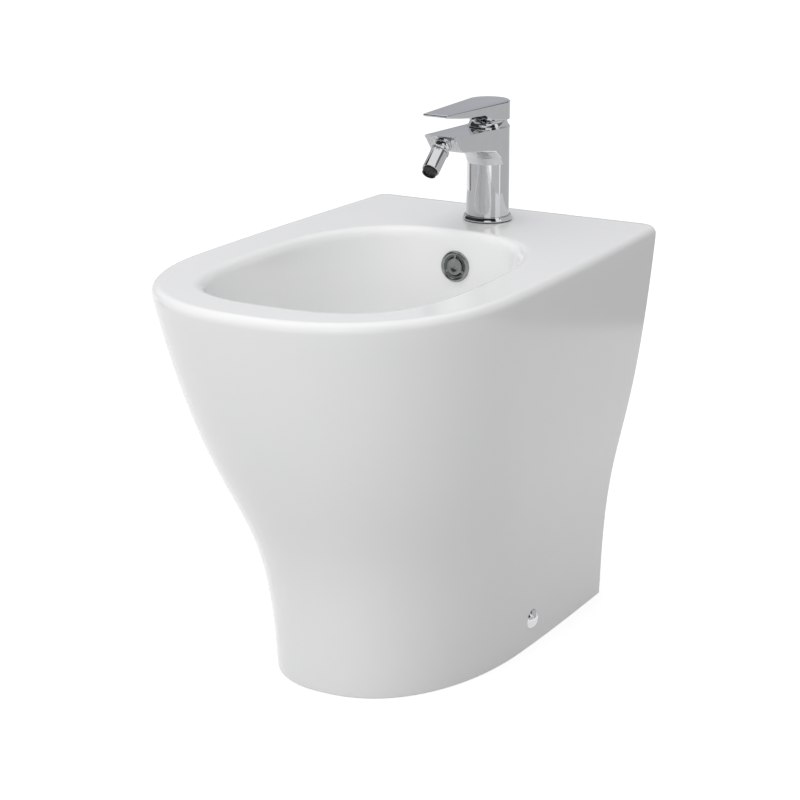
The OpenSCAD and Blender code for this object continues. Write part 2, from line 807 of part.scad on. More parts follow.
// Brass ring nut that holds the cartridge down
module cartridge_nut() {
    color(brass) at_pivot() translate([0, 0, shoulder_z]) difference() {
        ring_solid(nut_in_r, nut_bore_r - run_gap, nut_h);
        for (a = [0:90:270]) rotate(a) translate([nut_in_r - cut, -2, nut_h - 3])
            cube([nut_bore_r - nut_in_r + 2 * cut, 4, 3 + cut]);
    }
}

cavity_wall = 2.2;
rotor_r = 11;
rotor_bore_r = rotor_r + run_gap;

// Plastic housing of the cartridge
module cartridge_housing() {
    color(white_plastic) at_pivot() difference() {
        union() {
            translate([0, 0, fixed_z]) cylinder(r = cartridge_r, h = shoulder_z - fixed_z);
            translate([0, 0, shoulder_z]) cylinder(r = nut_in_r - 0.1, h = neck_top - shoulder_z);
        }
        translate([0, 0, fixed_z - cut])
            cylinder(r = cartridge_r - cavity_wall, h = cavity_top - fixed_z + cut);
        translate([0, 0, cavity_top - cut]) cylinder(r = rotor_bore_r, h = neck_top - cavity_top + 2 * cut);
        translate([0, 0, port_z]) rotate([90, 0, 0]) cylinder(r = waterway_r, h = cartridge_r + cut);
    }
}

// Base of the cartridge, with the two inlet ports
module cartridge_base() {
    color(grey_plastic) at_pivot() translate([0, 0, base_z]) difference() {
        cylinder(r = cartridge_r, h = fixed_z - base_z);
        for (x = [-inlet_x, inlet_x]) translate([x, inlet_y, -cut])
            cylinder(r = waterway_r, h = fixed_z - base_z + 2 * cut);
    }
}

// Two rubber rings round the inlet ports, under the cartridge
module cartridge_seals() {
    color(rubber) at_pivot() for (x = [-inlet_x, inlet_x])
        translate([x, inlet_y, floor_z]) ring_solid(waterway_r + 0.5, waterway_r + 2.3, base_z - floor_z);
}

disc_r = cartridge_r - cavity_wall - fit_gap;
slider_r = 10;

// Fixed ceramic disc, with the two inlet ports
module fixed_disc() {
    color(alumina) at_pivot() translate([0, 0, fixed_z]) difference() {
        cylinder(r = disc_r, h = moving_z - fixed_z);
        for (x = [-inlet_x, inlet_x]) translate([x, inlet_y, -cut])
            cylinder(r = waterway_r, h = moving_z - fixed_z + 2 * cut);
    }
}

// Moving ceramic disc, with the mixing pocket in its underside
module moving_disc() {
    color(alumina) at_pivot() translate([0, 0, moving_z + run_gap]) difference() {
        cylinder(r = slider_r, h = carrier_z - moving_z - run_gap);
        translate([-4, 2, -cut]) cube([8, 5, 2 + cut]);
    }
}

pocket_r = 3.3;
pocket_depth = 4.3;

// Plastic carrier that the stem's ball end pushes
module disc_carrier() {
    color(white_plastic) at_pivot() translate([0, 0, carrier_z]) difference() {
        cylinder(r = slider_r, h = carrier_top - carrier_z);
        translate([0, 0, carrier_top - carrier_z - pocket_depth])
            cylinder(r = pocket_r, h = pocket_depth + cut);
    }
}

slot_w = stem_w + 0.4;
slot_len = 17;
rotor_flange_r = 14;

// Plastic rotor that turns in the housing and carries the stem on its pin
module stem_rotor() {
    color(black_plastic) at_pivot() difference() {
        union() {
            translate([0, 0, carrier_top + fit_gap])
                cylinder(r = rotor_flange_r, h = cavity_top - carrier_top - 2 * fit_gap);
            translate([0, 0, carrier_top + fit_gap])
                cylinder(r = rotor_r, h = pivot_drop - carrier_top - fit_gap);
        }
        translate([-slot_w / 2, -slot_len / 2, carrier_top - cut])
            cube([slot_w, slot_len, pivot_drop - carrier_top + 2 * cut]);
        rotate([0, 90, 0])
            cylinder(r = pivot_pin_r + run_gap, h = 2 * rotor_r + 2 * cut, center = true);
    }
}

// Steel pin that the lever's stem tilts on
module pivot_pin() {
    color(steel) at_pivot() rotate([0, 90, 0])
        cylinder(r = pivot_pin_r, h = 2 * rotor_r - 2, center = true);
}

end_r = 3;

// Brass stem of the lever, square above the pin and round below it
module lever_stem() {
    color(brass) at_pivot() difference() {
        union() {
            translate([-stem_w / 2, -stem_w / 2, -stem_w / 2])
                cube([stem_w, stem_w, stem_top - pivot_h + stem_w / 2]);
            translate([0, 0, -stem_arm]) cylinder(r = end_r - 0.4, h = stem_arm - stem_w / 2 + cut);
            translate([0, 0, -stem_arm]) sphere(end_r);
        }
        rotate([0, 90, 0]) cylinder(r = pivot_pin_r + run_gap, h = stem_w + 2 * cut, center = true);
    }
}

// ---- Ball joint and aerator ------------------------------------------------------------------

neck_r = 5;
ball_bore_r = 2;
collar_z = 7.5;
collar_t = 3;
collar_r = aerator_d / 2 + 0.8;
housing_z = collar_z + collar_t;
neck_len = housing_z + 4;
insert_r = aerator_d / 2 - 1.2;
insert_z = neck_len + 1.6;

// Ring seat behind the swivel ball
module ball_seat() {
    color(white_plastic) at_ball() difference() {
        translate([0, 0, -seat_back]) cylinder(r = seat_ring_r - run_gap, h = seat_back - ball_r / 2);
        translate([0, 0, -seat_back - cut]) cylinder(r = ball_bore_r, h = seat_back);
        sphere(seat_sphere_r);
    }
}

// Chrome ring that holds the ball in the spout's face
module ball_retainer() {
    color(chrome) at_ball() difference() {
        translate([0, 0, -retainer_in]) cylinder(r = retainer_r - run_gap, h = retainer_in + retainer_out);
        sphere(seat_sphere_r);
    }
}

// Chrome ball with its hollow neck
module swivel_ball() {
    color(chrome) at_ball() difference() {
        union() {
            sphere(ball_r);
            cylinder(r = neck_r, h = neck_len);
        }
        translate([0, 0, -ball_r - cut]) cylinder(r = ball_bore_r, h = ball_r + neck_len + 2 * cut);
    }
}

// Chrome ring nut between the ball and the aerator
module swivel_collar() {
    color(chrome) at_ball() translate([0, 0, collar_z]) rotate_extrude() polygon([
        [neck_r + run_gap, 0], [collar_r - 0.6, 0], [collar_r, 0.6],
        [collar_r, collar_t - 0.8], [collar_r - 0.5, collar_t - 0.1], [neck_r + run_gap, collar_t - 0.1]
    ]);
}

// Chrome housing of the aerator
module aerator_housing() {
    color(chrome) at_ball() rotate_extrude() polygon([
        [neck_r + run_gap, housing_z], [aerator_d / 2 - 0.8, housing_z], [aerator_d / 2, housing_z + 0.8],
        [aerator_d / 2, aerator_reach - 0.5], [aerator_d / 2 - 0.5, aerator_reach],
        [insert_r + run_gap, aerator_reach], [insert_r + run_gap, neck_len], [neck_r + run_gap, neck_len]
    ]);
}

// Rubber washer between the ball's neck and the insert
module aerator_washer() {
    color(rubber) at_ball() translate([0, 0, neck_len])
        ring_solid(ball_bore_r, insert_r - 0.2, insert_z - neck_len);
}

insert_end = aerator_reach + insert_out;
jet_r = 0.7;

// Black insert of the aerator, with two rings of small jets
module aerator_insert() {
    color(black_plastic) at_ball() difference() {
        union() {
            translate([0, 0, insert_z]) cylinder(r = insert_r, h = aerator_reach - insert_z);
            translate([0, 0, aerator_reach - cut]) cylinder(r = insert_r - 0.5, h = insert_out + cut);
        }
        translate([0, 0, insert_z - cut]) cylinder(r = insert_r - 1.8, h = insert_end - insert_z - 3);
        translate([0, 0, insert_end - 1.4]) cylinder(r = insert_r - 1.6, h = 1.4 + cut);
        for (k = [1, 2], i = [0:5 * k - 1]) rotate(360 * i / (5 * k))
            translate([2.2 * k, 0, insert_end - 6]) cylinder(r = jet_r, h = 6 + cut, $fn = 16);
    }
}

// ---- Tap fixing under the deck ---------------------------------------------------------------

horseshoe_r = 24;
horseshoe_slot = 26;
gasket_t = 3;
washer_t = 2;
stud_nut_h = 12;

// Threaded stud that pulls the tap down
module fixing_stud() {
    color(steel) at_tap() translate([0, stud_y, -stud_drop])
        cylinder(r = stud_r - run_gap, h = stud_drop + column_foot + stud_grip - cut);
}

// Flat plate with an open slot for the hoses and a hole for the stud
module horseshoe(t) {
    difference() {
        cylinder(r = horseshoe_r, h = t);
        translate([-horseshoe_slot / 2, -horseshoe_r - cut, -cut])
            cube([horseshoe_slot, horseshoe_r + 2 * cut, t + 2 * cut]);
        translate([0, stud_y, -cut]) cylinder(r = stud_r + fit_gap, h = t + 2 * cut);
    }
}

module horseshoe_gasket() {
    color(rubber) at_tap() translate([0, 0, -deck_t - gasket_t]) horseshoe(gasket_t);
}

module horseshoe_washer() {
    color(steel) at_tap() translate([0, 0, -deck_t - gasket_t - washer_t]) horseshoe(washer_t);
}

// Tall hexagon nut on the stud
module stud_nut() {
    color(brass) at_tap() translate([0, stud_y, -deck_t - gasket_t - washer_t - stud_nut_h])
        difference() {
            cylinder(r = 7.5, h = stud_nut_h, $fn = 6);
            translate([0, 0, -cut]) cylinder(r = stud_r, h = stud_nut_h + 2 * cut);
        }
}

// ---- Waste -----------------------------------------------------------------------------------

tail_r = tail_d / 2;
tail_bore_r = tail_bore_d / 2;
flange_r = flange_d / 2;
waste_seal_t = 1.5;
flange_top = 4;
plug_seat_r = tail_bore_r + 3.8;
cone_seal_h = 7;
waste_washer_t = 2;
backnut_h = 14;
tail_window_w = 12;
backnut_z = -drain_boss_h - cone_seal_h - waste_washer_t - backnut_h;

// The trap stands on the outlet's height, and the waste's tail is cut to reach it
head_low = 28;
head_high = 18;
socket_h = 12;
socket_r = 22;
tube_nut_h = 14;
tail_bottom = outlet_h + head_high + socket_h + 20;

module waste_seal() {
    color(rubber) at_drain() ring_solid(tail_r + fit_gap, flange_r - 2, waste_seal_t);
}

// Chrome flange and threaded tail, with slots for the overflow
module waste_body() {
    tail_z = tail_bottom - seat_z;
    color(chrome) at_drain() difference() {
        rotate_extrude() polygon([
            [tail_bore_r, tail_z], [tail_r, tail_z], [tail_r, waste_seal_t],
            [flange_r - 0.5, waste_seal_t], [flange_r, waste_seal_t + 0.5],
            [flange_r, waste_seal_t + 1], [flange_r - 1.4, flange_top],
            [plug_seat_r + 0.6, flange_top], [plug_seat_r, flange_top - 0.6],
            [plug_seat_r, 2.4], [tail_bore_r, -1]
        ]);
        for (a = [0, 90]) rotate(a)
            translate([-tail_r - cut, -tail_window_w / 2, -wall_t - channel_depth + 1])
                cube([2 * tail_r + 2 * cut, tail_window_w, channel_depth - 2]);
    }
}

// Tapered rubber seal under the waste hole
module waste_cone_seal() {
    color(rubber) at_drain() translate([0, 0, -drain_boss_h - cone_seal_h]) difference() {
        cylinder(r1 = tail_r + 5, r2 = tail_r + 9, h = cone_seal_h);
        translate([0, 0, -cut]) cylinder(r = tail_r + 0.1, h = cone_seal_h + 2 * cut);
    }
}

module waste_washer() {
    color(white_plastic) at_drain() translate([0, 0, backnut_z + backnut_h])
        ring_solid(tail_r + fit_gap, tail_r + 8, waste_washer_t);
}

// Hexagon nut on the waste's tail
module waste_backnut() {
    color(brass) at_drain() translate([0, 0, backnut_z]) difference() {
        cylinder(r = tail_r + 9.5, h = backnut_h, $fn = 6);
        translate([0, 0, -cut]) cylinder(r = tail_r + run_gap, h = backnut_h + 2 * cut);
    }
}

latch_r = 6.5;
latch_top = -14;
latch_len = 32;
arm_z = -40;
arm_h = 6;
plug_stem_r = 3;
plug_neck_r = 15.5;
plug_lip_r = 16.9;
plug_lip_t = 0.9;
plug_z = -2.2;
plug_seal_r = 1.3;
plug_rim_z = 2.8;
plug_stem_top = 2;

// Push and release catch, held in the tail by three arms
module plug_latch() {
    color(grey_plastic) at_drain() difference() {
        union() {
            translate([0, 0, latch_top - latch_len]) cylinder(r = latch_r, h = latch_len);
            for (a = [30:120:270]) rotate(a) translate([0, -2, arm_z])
                cube([tail_bore_r - run_gap - 0.1, 4, arm_h]);
        }
        translate([0, 0, latch_top - latch_len + 3]) cylinder(r = plug_stem_r + run_gap, h = latch_len);
    }
}

module plug_stem() {
    color(steel) at_drain() translate([0, 0, latch_top - latch_len + 4])
        cylinder(r = plug_stem_r, h = plug_stem_top - latch_top + latch_len - 4);
}

// Low domed plug that rises when pushed
module waste_plug() {
    r = plug_seat_r - 0.5;
    color(chrome) at_drain() difference() {
        rotate_extrude() polygon([
            [0, plug_z], [plug_lip_r, plug_z], [plug_lip_r, plug_z + plug_lip_t],
            [plug_neck_r, plug_z + plug_lip_t], [plug_neck_r, plug_rim_z], [r, plug_rim_z],
            [r, plug_rim_z + 1.2], [r - 0.8, plug_rim_z + 2], [r * 0.6, plug_rim_z + 3.2],
            [0, plug_rim_z + 3.8]
        ]);
        translate([0, 0, plug_z - cut])
            cylinder(r = plug_stem_r + run_gap, h = plug_stem_top - plug_z + cut);
    }
}

module plug_seal() {
    color(rubber) at_drain() rotate_extrude()
        translate([plug_neck_r + plug_seal_r + run_gap, plug_z + plug_lip_t + plug_seal_r + run_gap])
            circle(plug_seal_r, $fn = hull_fn);
}

// ---- Trap ------------------------------------------------------------------------------------

pipe_r = pipe_d / 2;
pipe_in_r = pipe_r - pipe_t;
tube_flange_t = 3;
inlet_seal_t = 4;
inlet_nut_r = tail_r + 6;
head_r = 30;
head_bore_r = 27;
head_wall = 5;
cup_r = cup_d / 2;
cup_t = 2.5;
cup_seal_t = 1;
cup_thread = 11;
tube_seal_t = 3.5;
tube_nut_r = socket_r + 4.5;
spigot_r = pipe_r + 3;
spigot_end = 54;
outlet_nut_r = spigot_r + 5;
outlet_seal_t = 4;
outlet_nut_h = 18;
nut_lip_t = 3;
// Groove round the pipe that shows how far it goes into the trap
pipe_mark_w = 1;
pipe_mark_depth = 0.6;
inlet_nut_h = 22;
head_z = outlet_h - head_low;
socket_top = outlet_h + head_high + socket_h;

// Places its children on the trap's axis, at height z above the floor
module at_trap(z) {
    translate([0, drain_y, z]) children();
}

// Union nut with eight grip grooves: bore r_bore over a length, then a mouth of r_mouth
module union_nut(r, h, r_bore, bore_h, r_mouth) {
    difference() {
        cylinder(r = r, h = h);
        translate([0, 0, -cut]) cylinder(r = r_bore, h = bore_h + cut);
        translate([0, 0, -cut]) cylinder(r = r_mouth, h = h + 2 * cut);
        for (a = [0:45:315]) rotate(a) translate([r + 1, 0, -cut])
            cylinder(r = 3, h = h + 2 * cut, $fn = 16);
    }
}

// Nut that joins the trap's inlet tube to the waste's tail
module trap_inlet_nut() {
    below = inlet_seal_t + tube_flange_t + nut_lip_t;
    color(white_plastic) at_trap(tail_bottom - below + inlet_nut_h) rotate([180, 0, 0])
        union_nut(inlet_nut_r, inlet_nut_h, tail_r + run_gap, inlet_nut_h - nut_lip_t,
            pipe_r + fit_gap);
}

module trap_inlet_seal() {
    color(rubber) at_trap(tail_bottom - inlet_seal_t) ring_solid(pipe_in_r, tail_r - 0.4, inlet_seal_t);
}

dip_z = outlet_h - pipe_in_r - water_seal;

// Flanged tube that dips into the trap's water
module trap_inlet_tube() {
    top = tail_bottom - inlet_seal_t;
    color(white_plastic) difference() {
        union() {
            at_trap(dip_z) cylinder(r = pipe_r, h = top - dip_z);
            at_trap(top - tube_flange_t) cylinder(r = tail_r - 0.6, h = tube_flange_t);
        }
        at_trap(dip_z - cut) cylinder(r = pipe_in_r, h = top - dip_z + 2 * cut);
    }
}

module trap_tube_nut() {
    color(white_plastic) at_trap(socket_top + tube_seal_t + nut_lip_t - tube_nut_h)
        union_nut(tube_nut_r, tube_nut_h, socket_r + run_gap, tube_nut_h - nut_lip_t,
            pipe_r + fit_gap);
}

module trap_tube_seal() {
    color(rubber) at_trap(socket_top) ring_solid(pipe_r + run_gap, socket_r - 0.5, tube_seal_t);
}

// Head of the bottle trap, with its inlet socket and side outlet
module trap_head() {
    color(white_plastic) difference() {
        union() {
            at_trap(head_z) cylinder(r = head_r, h = head_low + head_high);
            at_trap(head_z) cylinder(r = socket_r, h = socket_top - head_z);
            at_trap(outlet_h) rotate([-90, 0, 0]) cylinder(r = spigot_r - 0.1, h = spigot_end);
        }
        at_trap(head_z - cut) cylinder(r = head_bore_r, h = head_low + head_high - head_wall + cut);
        at_trap(head_z) cylinder(r = pipe_r + 0.2, h = socket_top - head_z + cut);
        at_trap(outlet_h) rotate([-90, 0, 0]) {
            cylinder(r = pipe_in_r, h = spigot_end + cut);
            translate([0, 0, spigot_end - 6]) cylinder(r = pipe_r + 0.1, h = 6 + cut);
        }
    }
}

// Screw-off cup of the trap
module trap_cup() {
    shoulder = head_z - cup_seal_t;
    rim_r = head_bore_r - run_gap;
    color(white_plastic) at_trap(cup_bottom_h) difference() {
        union() {
            translate([0, 0, 3]) cylinder(r = cup_r, h = shoulder - cup_bottom_h - 3);
            cylinder(r1 = cup_r - 4, r2 = cup_r, h = 3);
            cylinder(r = rim_r, h = head_z + cup_thread - cup_bottom_h);
        }
        translate([0, 0, cup_t + 1])
            cylinder(r = rim_r - cup_t, h = head_z + cup_thread - cup_bottom_h);
    }
}

module trap_cup_seal() {
    color(rubber) at_trap(head_z - cup_seal_t) ring_solid(head_bore_r + 0.1, cup_r, cup_seal_t);
}

module outlet_nut() {
    color(white_plastic) at_trap(outlet_h) rotate([-90, 0, 0])
        translate([0, 0, spigot_end + outlet_seal_t + nut_lip_t - outlet_nut_h])
            union_nut(outlet_nut_r, outlet_nut_h, spigot_r, outlet_nut_h - nut_lip_t, pipe_r + fit_gap);
}

module outlet_seal() {
    color(rubber) at_trap(outlet_h) rotate([-90, 0, 0]) translate([0, 0, spigot_end])
        ring_solid(pipe_r + run_gap, spigot_r - 0.3, outlet_seal_t);
}

// Waste pipe from the trap to the wall
module outlet_pipe() {
    start = spigot_end - 5;
    free = spigot_end + outlet_seal_t + nut_lip_t;
    color(white_plastic) at_trap(outlet_h) rotate([-90, 0, 0]) {
        translate([0, 0, start])
            ring_solid(pipe_in_r, pipe_r - 2 * run_gap, free - pipe_mark_w - start);
        translate([0, 0, free - pipe_mark_w])
            ring_solid(pipe_in_r, pipe_r - pipe_mark_depth, pipe_mark_w);
        translate([0, 0, free]) ring_solid(pipe_in_r, pipe_r, drain_from_wall - free);
    }
}

// ---- Floor fixing ----------------------------------------------------------------------------

side_screw_r = side_screw_d / 2;
sleeve_flange_r = 7.2;
sleeve_flange_t = 1.2;
screw_head_r = 4.2;
screw_head_h = 2;
leg_gap = 2;
leg_t = 8;
foot_plate_t = 6;
bracket_w = 36;
bracket_h = 46;
foot_plate_in = 16;
screw_reach = wall_t + leg_gap + leg_t + 3;

// Screws that tie the foot to its floor brackets
module side_screws() {
    color(steel) at_fixings() {
        translate([0, 0, -screw_reach]) cylinder(r = side_screw_r, h = screw_reach + sleeve_flange_t + cut);
        translate([0, 0, sleeve_flange_t]) difference() {
            cylinder(r = screw_head_r, h = screw_head_h);
            translate([-0.6, -screw_head_r, screw_head_h - 1]) cube([1.2, 2 * screw_head_r, 1 + cut]);
        }
    }
}

// Plastic sleeves in the foot's side holes
module screw_sleeves() {
    color(white_plastic) at_fixings() difference() {
        union() {
            translate([0, 0, spot_depth - wall_t]) cylinder(d = fixing_hole_d - 2 * fit_gap, h = wall_t);
            cylinder(r = sleeve_flange_r, h = sleeve_flange_t);
        }
        translate([0, 0, -wall_t - cut]) cylinder(r = side_screw_r + 0.15, h = wall_t + 4 * cut);
    }
}

cap_r = cap_d / 2;
cap_sphere_r = (cap_r * cap_r + cap_h * cap_h) / (2 * cap_h);
cap_t = 1.1;

// Domed caps over the side screws
module screw_caps() {
    color(chrome) at_fixings() difference() {
        intersection() {
            translate([0, 0, cap_h - cap_sphere_r]) sphere(cap_sphere_r);
            cylinder(r = cap_r, h = cap_h + cut);
        }
        translate([0, 0, cap_h - cap_sphere_r]) sphere(cap_sphere_r - cap_t);
    }
}

// Plastic angle brackets that are screwed to the floor inside the foot
module floor_brackets() {
    leg_x = spot_x + spot_depth - wall_t - leg_gap - leg_t;
    plate_x = floor_screw_gap / 2 - foot_plate_in;
    color(white_plastic) for (side = [0, 1]) mirror([side, 0, 0]) translate([0, fixing_y, 0])
        difference() {
            union() {
                translate([plate_x, -bracket_w / 2, 0])
                    cube([leg_x + leg_t - plate_x, bracket_w, foot_plate_t]);
                translate([leg_x, -bracket_w / 2, 0]) cube([leg_t, bracket_w, bracket_h]);
            }
            translate([floor_screw_gap / 2, 0, -cut])
                cylinder(d = floor_screw_d, h = foot_plate_t + 2 * cut);
            translate([leg_x - cut, 0, fixing_h]) rotate([0, 90, 0])
                cylinder(r = side_screw_r + run_gap, h = leg_t + 2 * cut);
        }
}

// ---- Parts -----------------------------------------------------------------------------------

ceramic_deck();
ceramic_bowl();
ceramic_skirt();
overflow_cover();
overflow_sleeve();
base_ring();
base_seal();
mixer_body();
lever_handle();
lever_screw();
screw_plug();
cartridge_dome();
cartridge_nut();
cartridge_housing();
cartridge_base();
cartridge_seals();
fixed_disc();
moving_disc();
disc_carrier();
stem_rotor();
pivot_pin();
lever_stem();
ball_seat();
ball_retainer();
swivel_ball();
swivel_collar();
aerator_housing();
aerator_washer();
aerator_insert();
fixing_stud();
horseshoe_gasket();
horseshoe_washer();
stud_nut();
waste_seal();
waste_body();
waste_cone_seal();
waste_washer();
waste_backnut();
plug_latch();
plug_stem();
waste_plug();
plug_seal();
trap_inlet_nut();
trap_inlet_seal();
trap_inlet_tube();
trap_tube_nut();
trap_tube_seal();
trap_head();
trap_cup();
trap_cup_seal();
outlet_nut();
outlet_seal();
outlet_pipe();
side_screws();
screw_sleeves();
screw_caps();
floor_brackets();
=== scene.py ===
import json
from math import acos, asin, cos, sin, tan, pi, radians

import bmesh
import bpy
from mathutils import Matrix, Vector

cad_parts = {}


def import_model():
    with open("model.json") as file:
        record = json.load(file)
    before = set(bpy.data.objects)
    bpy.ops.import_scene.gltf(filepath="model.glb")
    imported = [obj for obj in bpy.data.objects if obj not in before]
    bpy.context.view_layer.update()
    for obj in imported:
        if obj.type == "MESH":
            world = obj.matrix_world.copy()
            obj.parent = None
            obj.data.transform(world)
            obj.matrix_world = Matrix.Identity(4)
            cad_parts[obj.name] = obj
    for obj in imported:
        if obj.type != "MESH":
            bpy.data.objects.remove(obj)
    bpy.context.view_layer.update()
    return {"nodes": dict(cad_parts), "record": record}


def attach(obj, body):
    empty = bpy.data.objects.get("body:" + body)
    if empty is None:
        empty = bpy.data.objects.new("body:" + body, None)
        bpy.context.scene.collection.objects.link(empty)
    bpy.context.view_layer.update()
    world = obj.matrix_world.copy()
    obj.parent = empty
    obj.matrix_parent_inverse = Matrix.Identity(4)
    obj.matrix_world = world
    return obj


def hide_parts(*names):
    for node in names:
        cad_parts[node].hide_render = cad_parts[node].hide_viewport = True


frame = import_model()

MM = 0.001

# ---- Sizes of the ceramic, in millimetres, as the CAD part has them ---------------------------
# Three differ: the width and depth are a little less, so that the smooth rim stays inside the
# CAD's facets, and the bowl's front is squarer, as the photograph shows it.

BODY_W, BODY_D, BODY_H, WALL_Y = 351.9, 528.85, 406, 264.5
RIM_BACK_W, RIM_WIDEST, RIM_R = 329, 333, 8
WALL_T, DECK_T, CORNER_R = 11, 14, 7
RIM_SIDE_N, RIM_FRONT_N = 2.33, 2.19
FOOT_W, FOOT_BACK_W, FOOT_D, FOOT_WIDEST = 232, 221, 389, 200
FLARE_LOW, FLARE_HIGH = 200, 254
FOOT_LEAN_FRONT, FOOT_LEAN_SIDE = 3.9, 1.7
RIM_LEAN_FRONT, RIM_LEAN_SIDE = 16.9, 6
OPENING_W, OPENING_H, OPENING_R = 180, 330, 30
BOWL_W, BOWL_BACK, BOWL_WIDEST, BOWL_FRONT = 261, 118, 320, 485
BOWL_BACK_N, BOWL_FRONT_N = 2.7, 2.9
BOWL_EDGE_R, BOWL_DRAFT = 10, 3
BOWL_WALL_DEPTH, BOWL_DEPTH, BOWL_FULLNESS = 60, 150, 0.8
DRAIN_FROM_WALL, DRAIN_HOLE_R, SEAT_R, BOSS_H = 265, 23, 35, 34
OVERFLOW_DEPTH, OVERFLOW_R, COVER_R, COVER_T = 36, 12, 16, 3.2
CHANNEL_DEPTH, CHANNEL_W, CHANNEL_WALL = 12, 20, 6
TAP_FROM_WALL, TAP_HOLE_R = 60, 17.5
FIXING_FROM_WALL, FIXING_H, FIXING_HOLE_R, CAP_R = 179, 29, 6, 10
SPOT_DEPTH, FIT_GAP, RUN_GAP = 0.6, 0.3, 0.05

# Radii of the edges round the foot and along the back of the rim, which only this script has.
FOOT_EDGE_R, BACK_EDGE_R = 1.2, 1.5
# How far a cutting shape runs past the face that it cuts.
CUT = 1

DRAIN_Y = WALL_Y - DRAIN_FROM_WALL
TAP_Y = WALL_Y - TAP_FROM_WALL
FIXING_Y = WALL_Y - FIXING_FROM_WALL
SEAT_Z = BODY_H - BOWL_DEPTH


def blend(a, b, t):
    return a + (b - a) * t


def bezier(p, u):
    """The value at share u of a cubic curve with the four values p."""
    return (p[0] * (1 - u) ** 3 + 3 * p[1] * u * (1 - u) ** 2
            + 3 * p[2] * u ** 2 * (1 - u) + p[3] * u ** 3)


def squared(a, n):
    """Cosine and sine of a on an ellipse of squareness n, where 2 is a true ellipse."""
    return max(0.0, cos(a)) ** (2 / n), max(0.0, sin(a)) ** (2 / n)


# ---- Outlines: half of one, from the middle of the back to the middle of the front ------------

# How many points lie along the back, its corner, the side and the front.
BACK_N, CORNER_N, SIDE_N, FRONT_N = 5, 8, 18, 50
REAR_N = BACK_N + CORNER_N + SIDE_N


def body_half(back_hw, hw, depth, widest, back, corner):
    out = [((back_hw - corner) * i / BACK_N, back) for i in range(BACK_N)]
    for i in range(CORNER_N):
        a = pi / 2 * i / CORNER_N
        out.append((back_hw - corner + corner * sin(a), back + corner - corner * cos(a)))
    for i in range(SIDE_N):
        t = i / SIDE_N
        out.append((blend(back_hw, hw, sin(pi / 2 * t)), blend(back + corner, widest, t)))
    for i in range(FRONT_N + 1):
        a = pi / 2 * i / FRONT_N
        across, along = squared(a, RIM_SIDE_N)[0], squared(a, RIM_FRONT_N)[1]
        out.append((hw * across, widest + (depth - widest) * along))
    return out


def oval_half(hw, back, widest, front, n_back, n_front):
    out = []
    for i in range(REAR_N):
        across, along = squared(pi / 2 * (1 - i / REAR_N), n_back)
        out.append((hw * across, widest - (widest - back) * along))
    for i in range(FRONT_N + 1):
        across, along = squared(pi / 2 * i / FRONT_N, n_front)
        out.append((hw * across, widest + (front - widest) * along))
    return out


def round_half(r):
    """Half a circle round the drain."""
    return oval_half(r, DRAIN_FROM_WALL - r, DRAIN_FROM_WALL, DRAIN_FROM_WALL + r, 2, 2)


def ring(half, z):
    """A whole outline at height z, as points in metres."""
    both = half + [(-x, y) for x, y in half[-2:0:-1]]
    return [Vector((x, WALL_Y - y, z)) * MM for x, y in both]


def rolled(rings, closed):
    """A grid rolled round the rings, one row of it on each, as a bmesh."""
    rows = rings + rings[:1] if closed else rings
    columns = len(rings[0])
    bm = bmesh.new()
    bmesh.ops.create_grid(bm, x_segments=columns, y_segments=len(rows) - 1, size=1)
    for v in bm.verts:
        i = round((v.co.x + 1) / 2 * columns) % columns
        v.co = rows[round((v.co.y + 1) / 2 * (len(rows) - 1))][i]
    bmesh.ops.remove_doubles(bm, verts=bm.verts, dist=1e-7)
    bmesh.ops.dissolve_degenerate(bm, edges=bm.edges, dist=1e-7)
    return bm


# ---- The ceramic's surfaces -------------------------------------------------------------------

FLARE_TOP_Z = BODY_H - RIM_R - RIM_R * sin(radians(RIM_LEAN_FRONT))
FLARE_TOP_D = BODY_D - RIM_R + RIM_R * cos(radians(RIM_LEAN_FRONT))
FLARE_TOP_HW = BODY_W / 2 - RIM_R + RIM_R * cos(radians(RIM_LEAN_SIDE))
FLARE_Z = [0, FLARE_LOW, FLARE_TOP_Z - FLARE_HIGH, FLARE_TOP_Z]
FLARE_D = [FOOT_D, FOOT_D + FLARE_LOW * tan(radians(FOOT_LEAN_FRONT)),
           FLARE_TOP_D - FLARE_HIGH * tan(radians(RIM_LEAN_FRONT)), FLARE_TOP_D]
FLARE_HW = [FOOT_W / 2, FOOT_W / 2 + FLARE_LOW * tan(radians(FOOT_LEAN_SIDE)),
            FLARE_TOP_HW - FLARE_HIGH * tan(radians(RIM_LEAN_SIDE)), FLARE_TOP_HW]


def flare_share(u):
    """How far the side has widened at share u of the flare, from 0 at the foot."""
    return (bezier(FLARE_HW, u) - FOOT_W / 2) / (BODY_W / 2 - FOOT_W / 2)


def wall_half(u, inset, back):
    """The body's outline at share u of the flare."""
    share, hw = flare_share(u), bezier(FLARE_HW, u)
    return body_half(blend(FOOT_BACK_W, RIM_BACK_W, share) / 2 - inset, hw - inset,
                     bezier(FLARE_D, u) - inset, blend(FOOT_WIDEST, RIM_WIDEST, share),
                     back, CORNER_R)


def edge_half(a):
    """The outline at angle a up the rim's round edge."""
    out, back = RIM_R * (cos(a) - 1), BACK_EDGE_R * (1 - cos(max(0, a)))
    return body_half(RIM_BACK_W / 2 + out, BODY_W / 2 + out, BODY_D + out, RIM_WIDEST,
                     back, CORNER_R)


def bowl_inset(depth):
    """How far inside the mouth's outline the bowl's upright wall is at a depth."""
    return BOWL_EDGE_R + (depth - BOWL_EDGE_R) * tan(radians(BOWL_DRAFT))


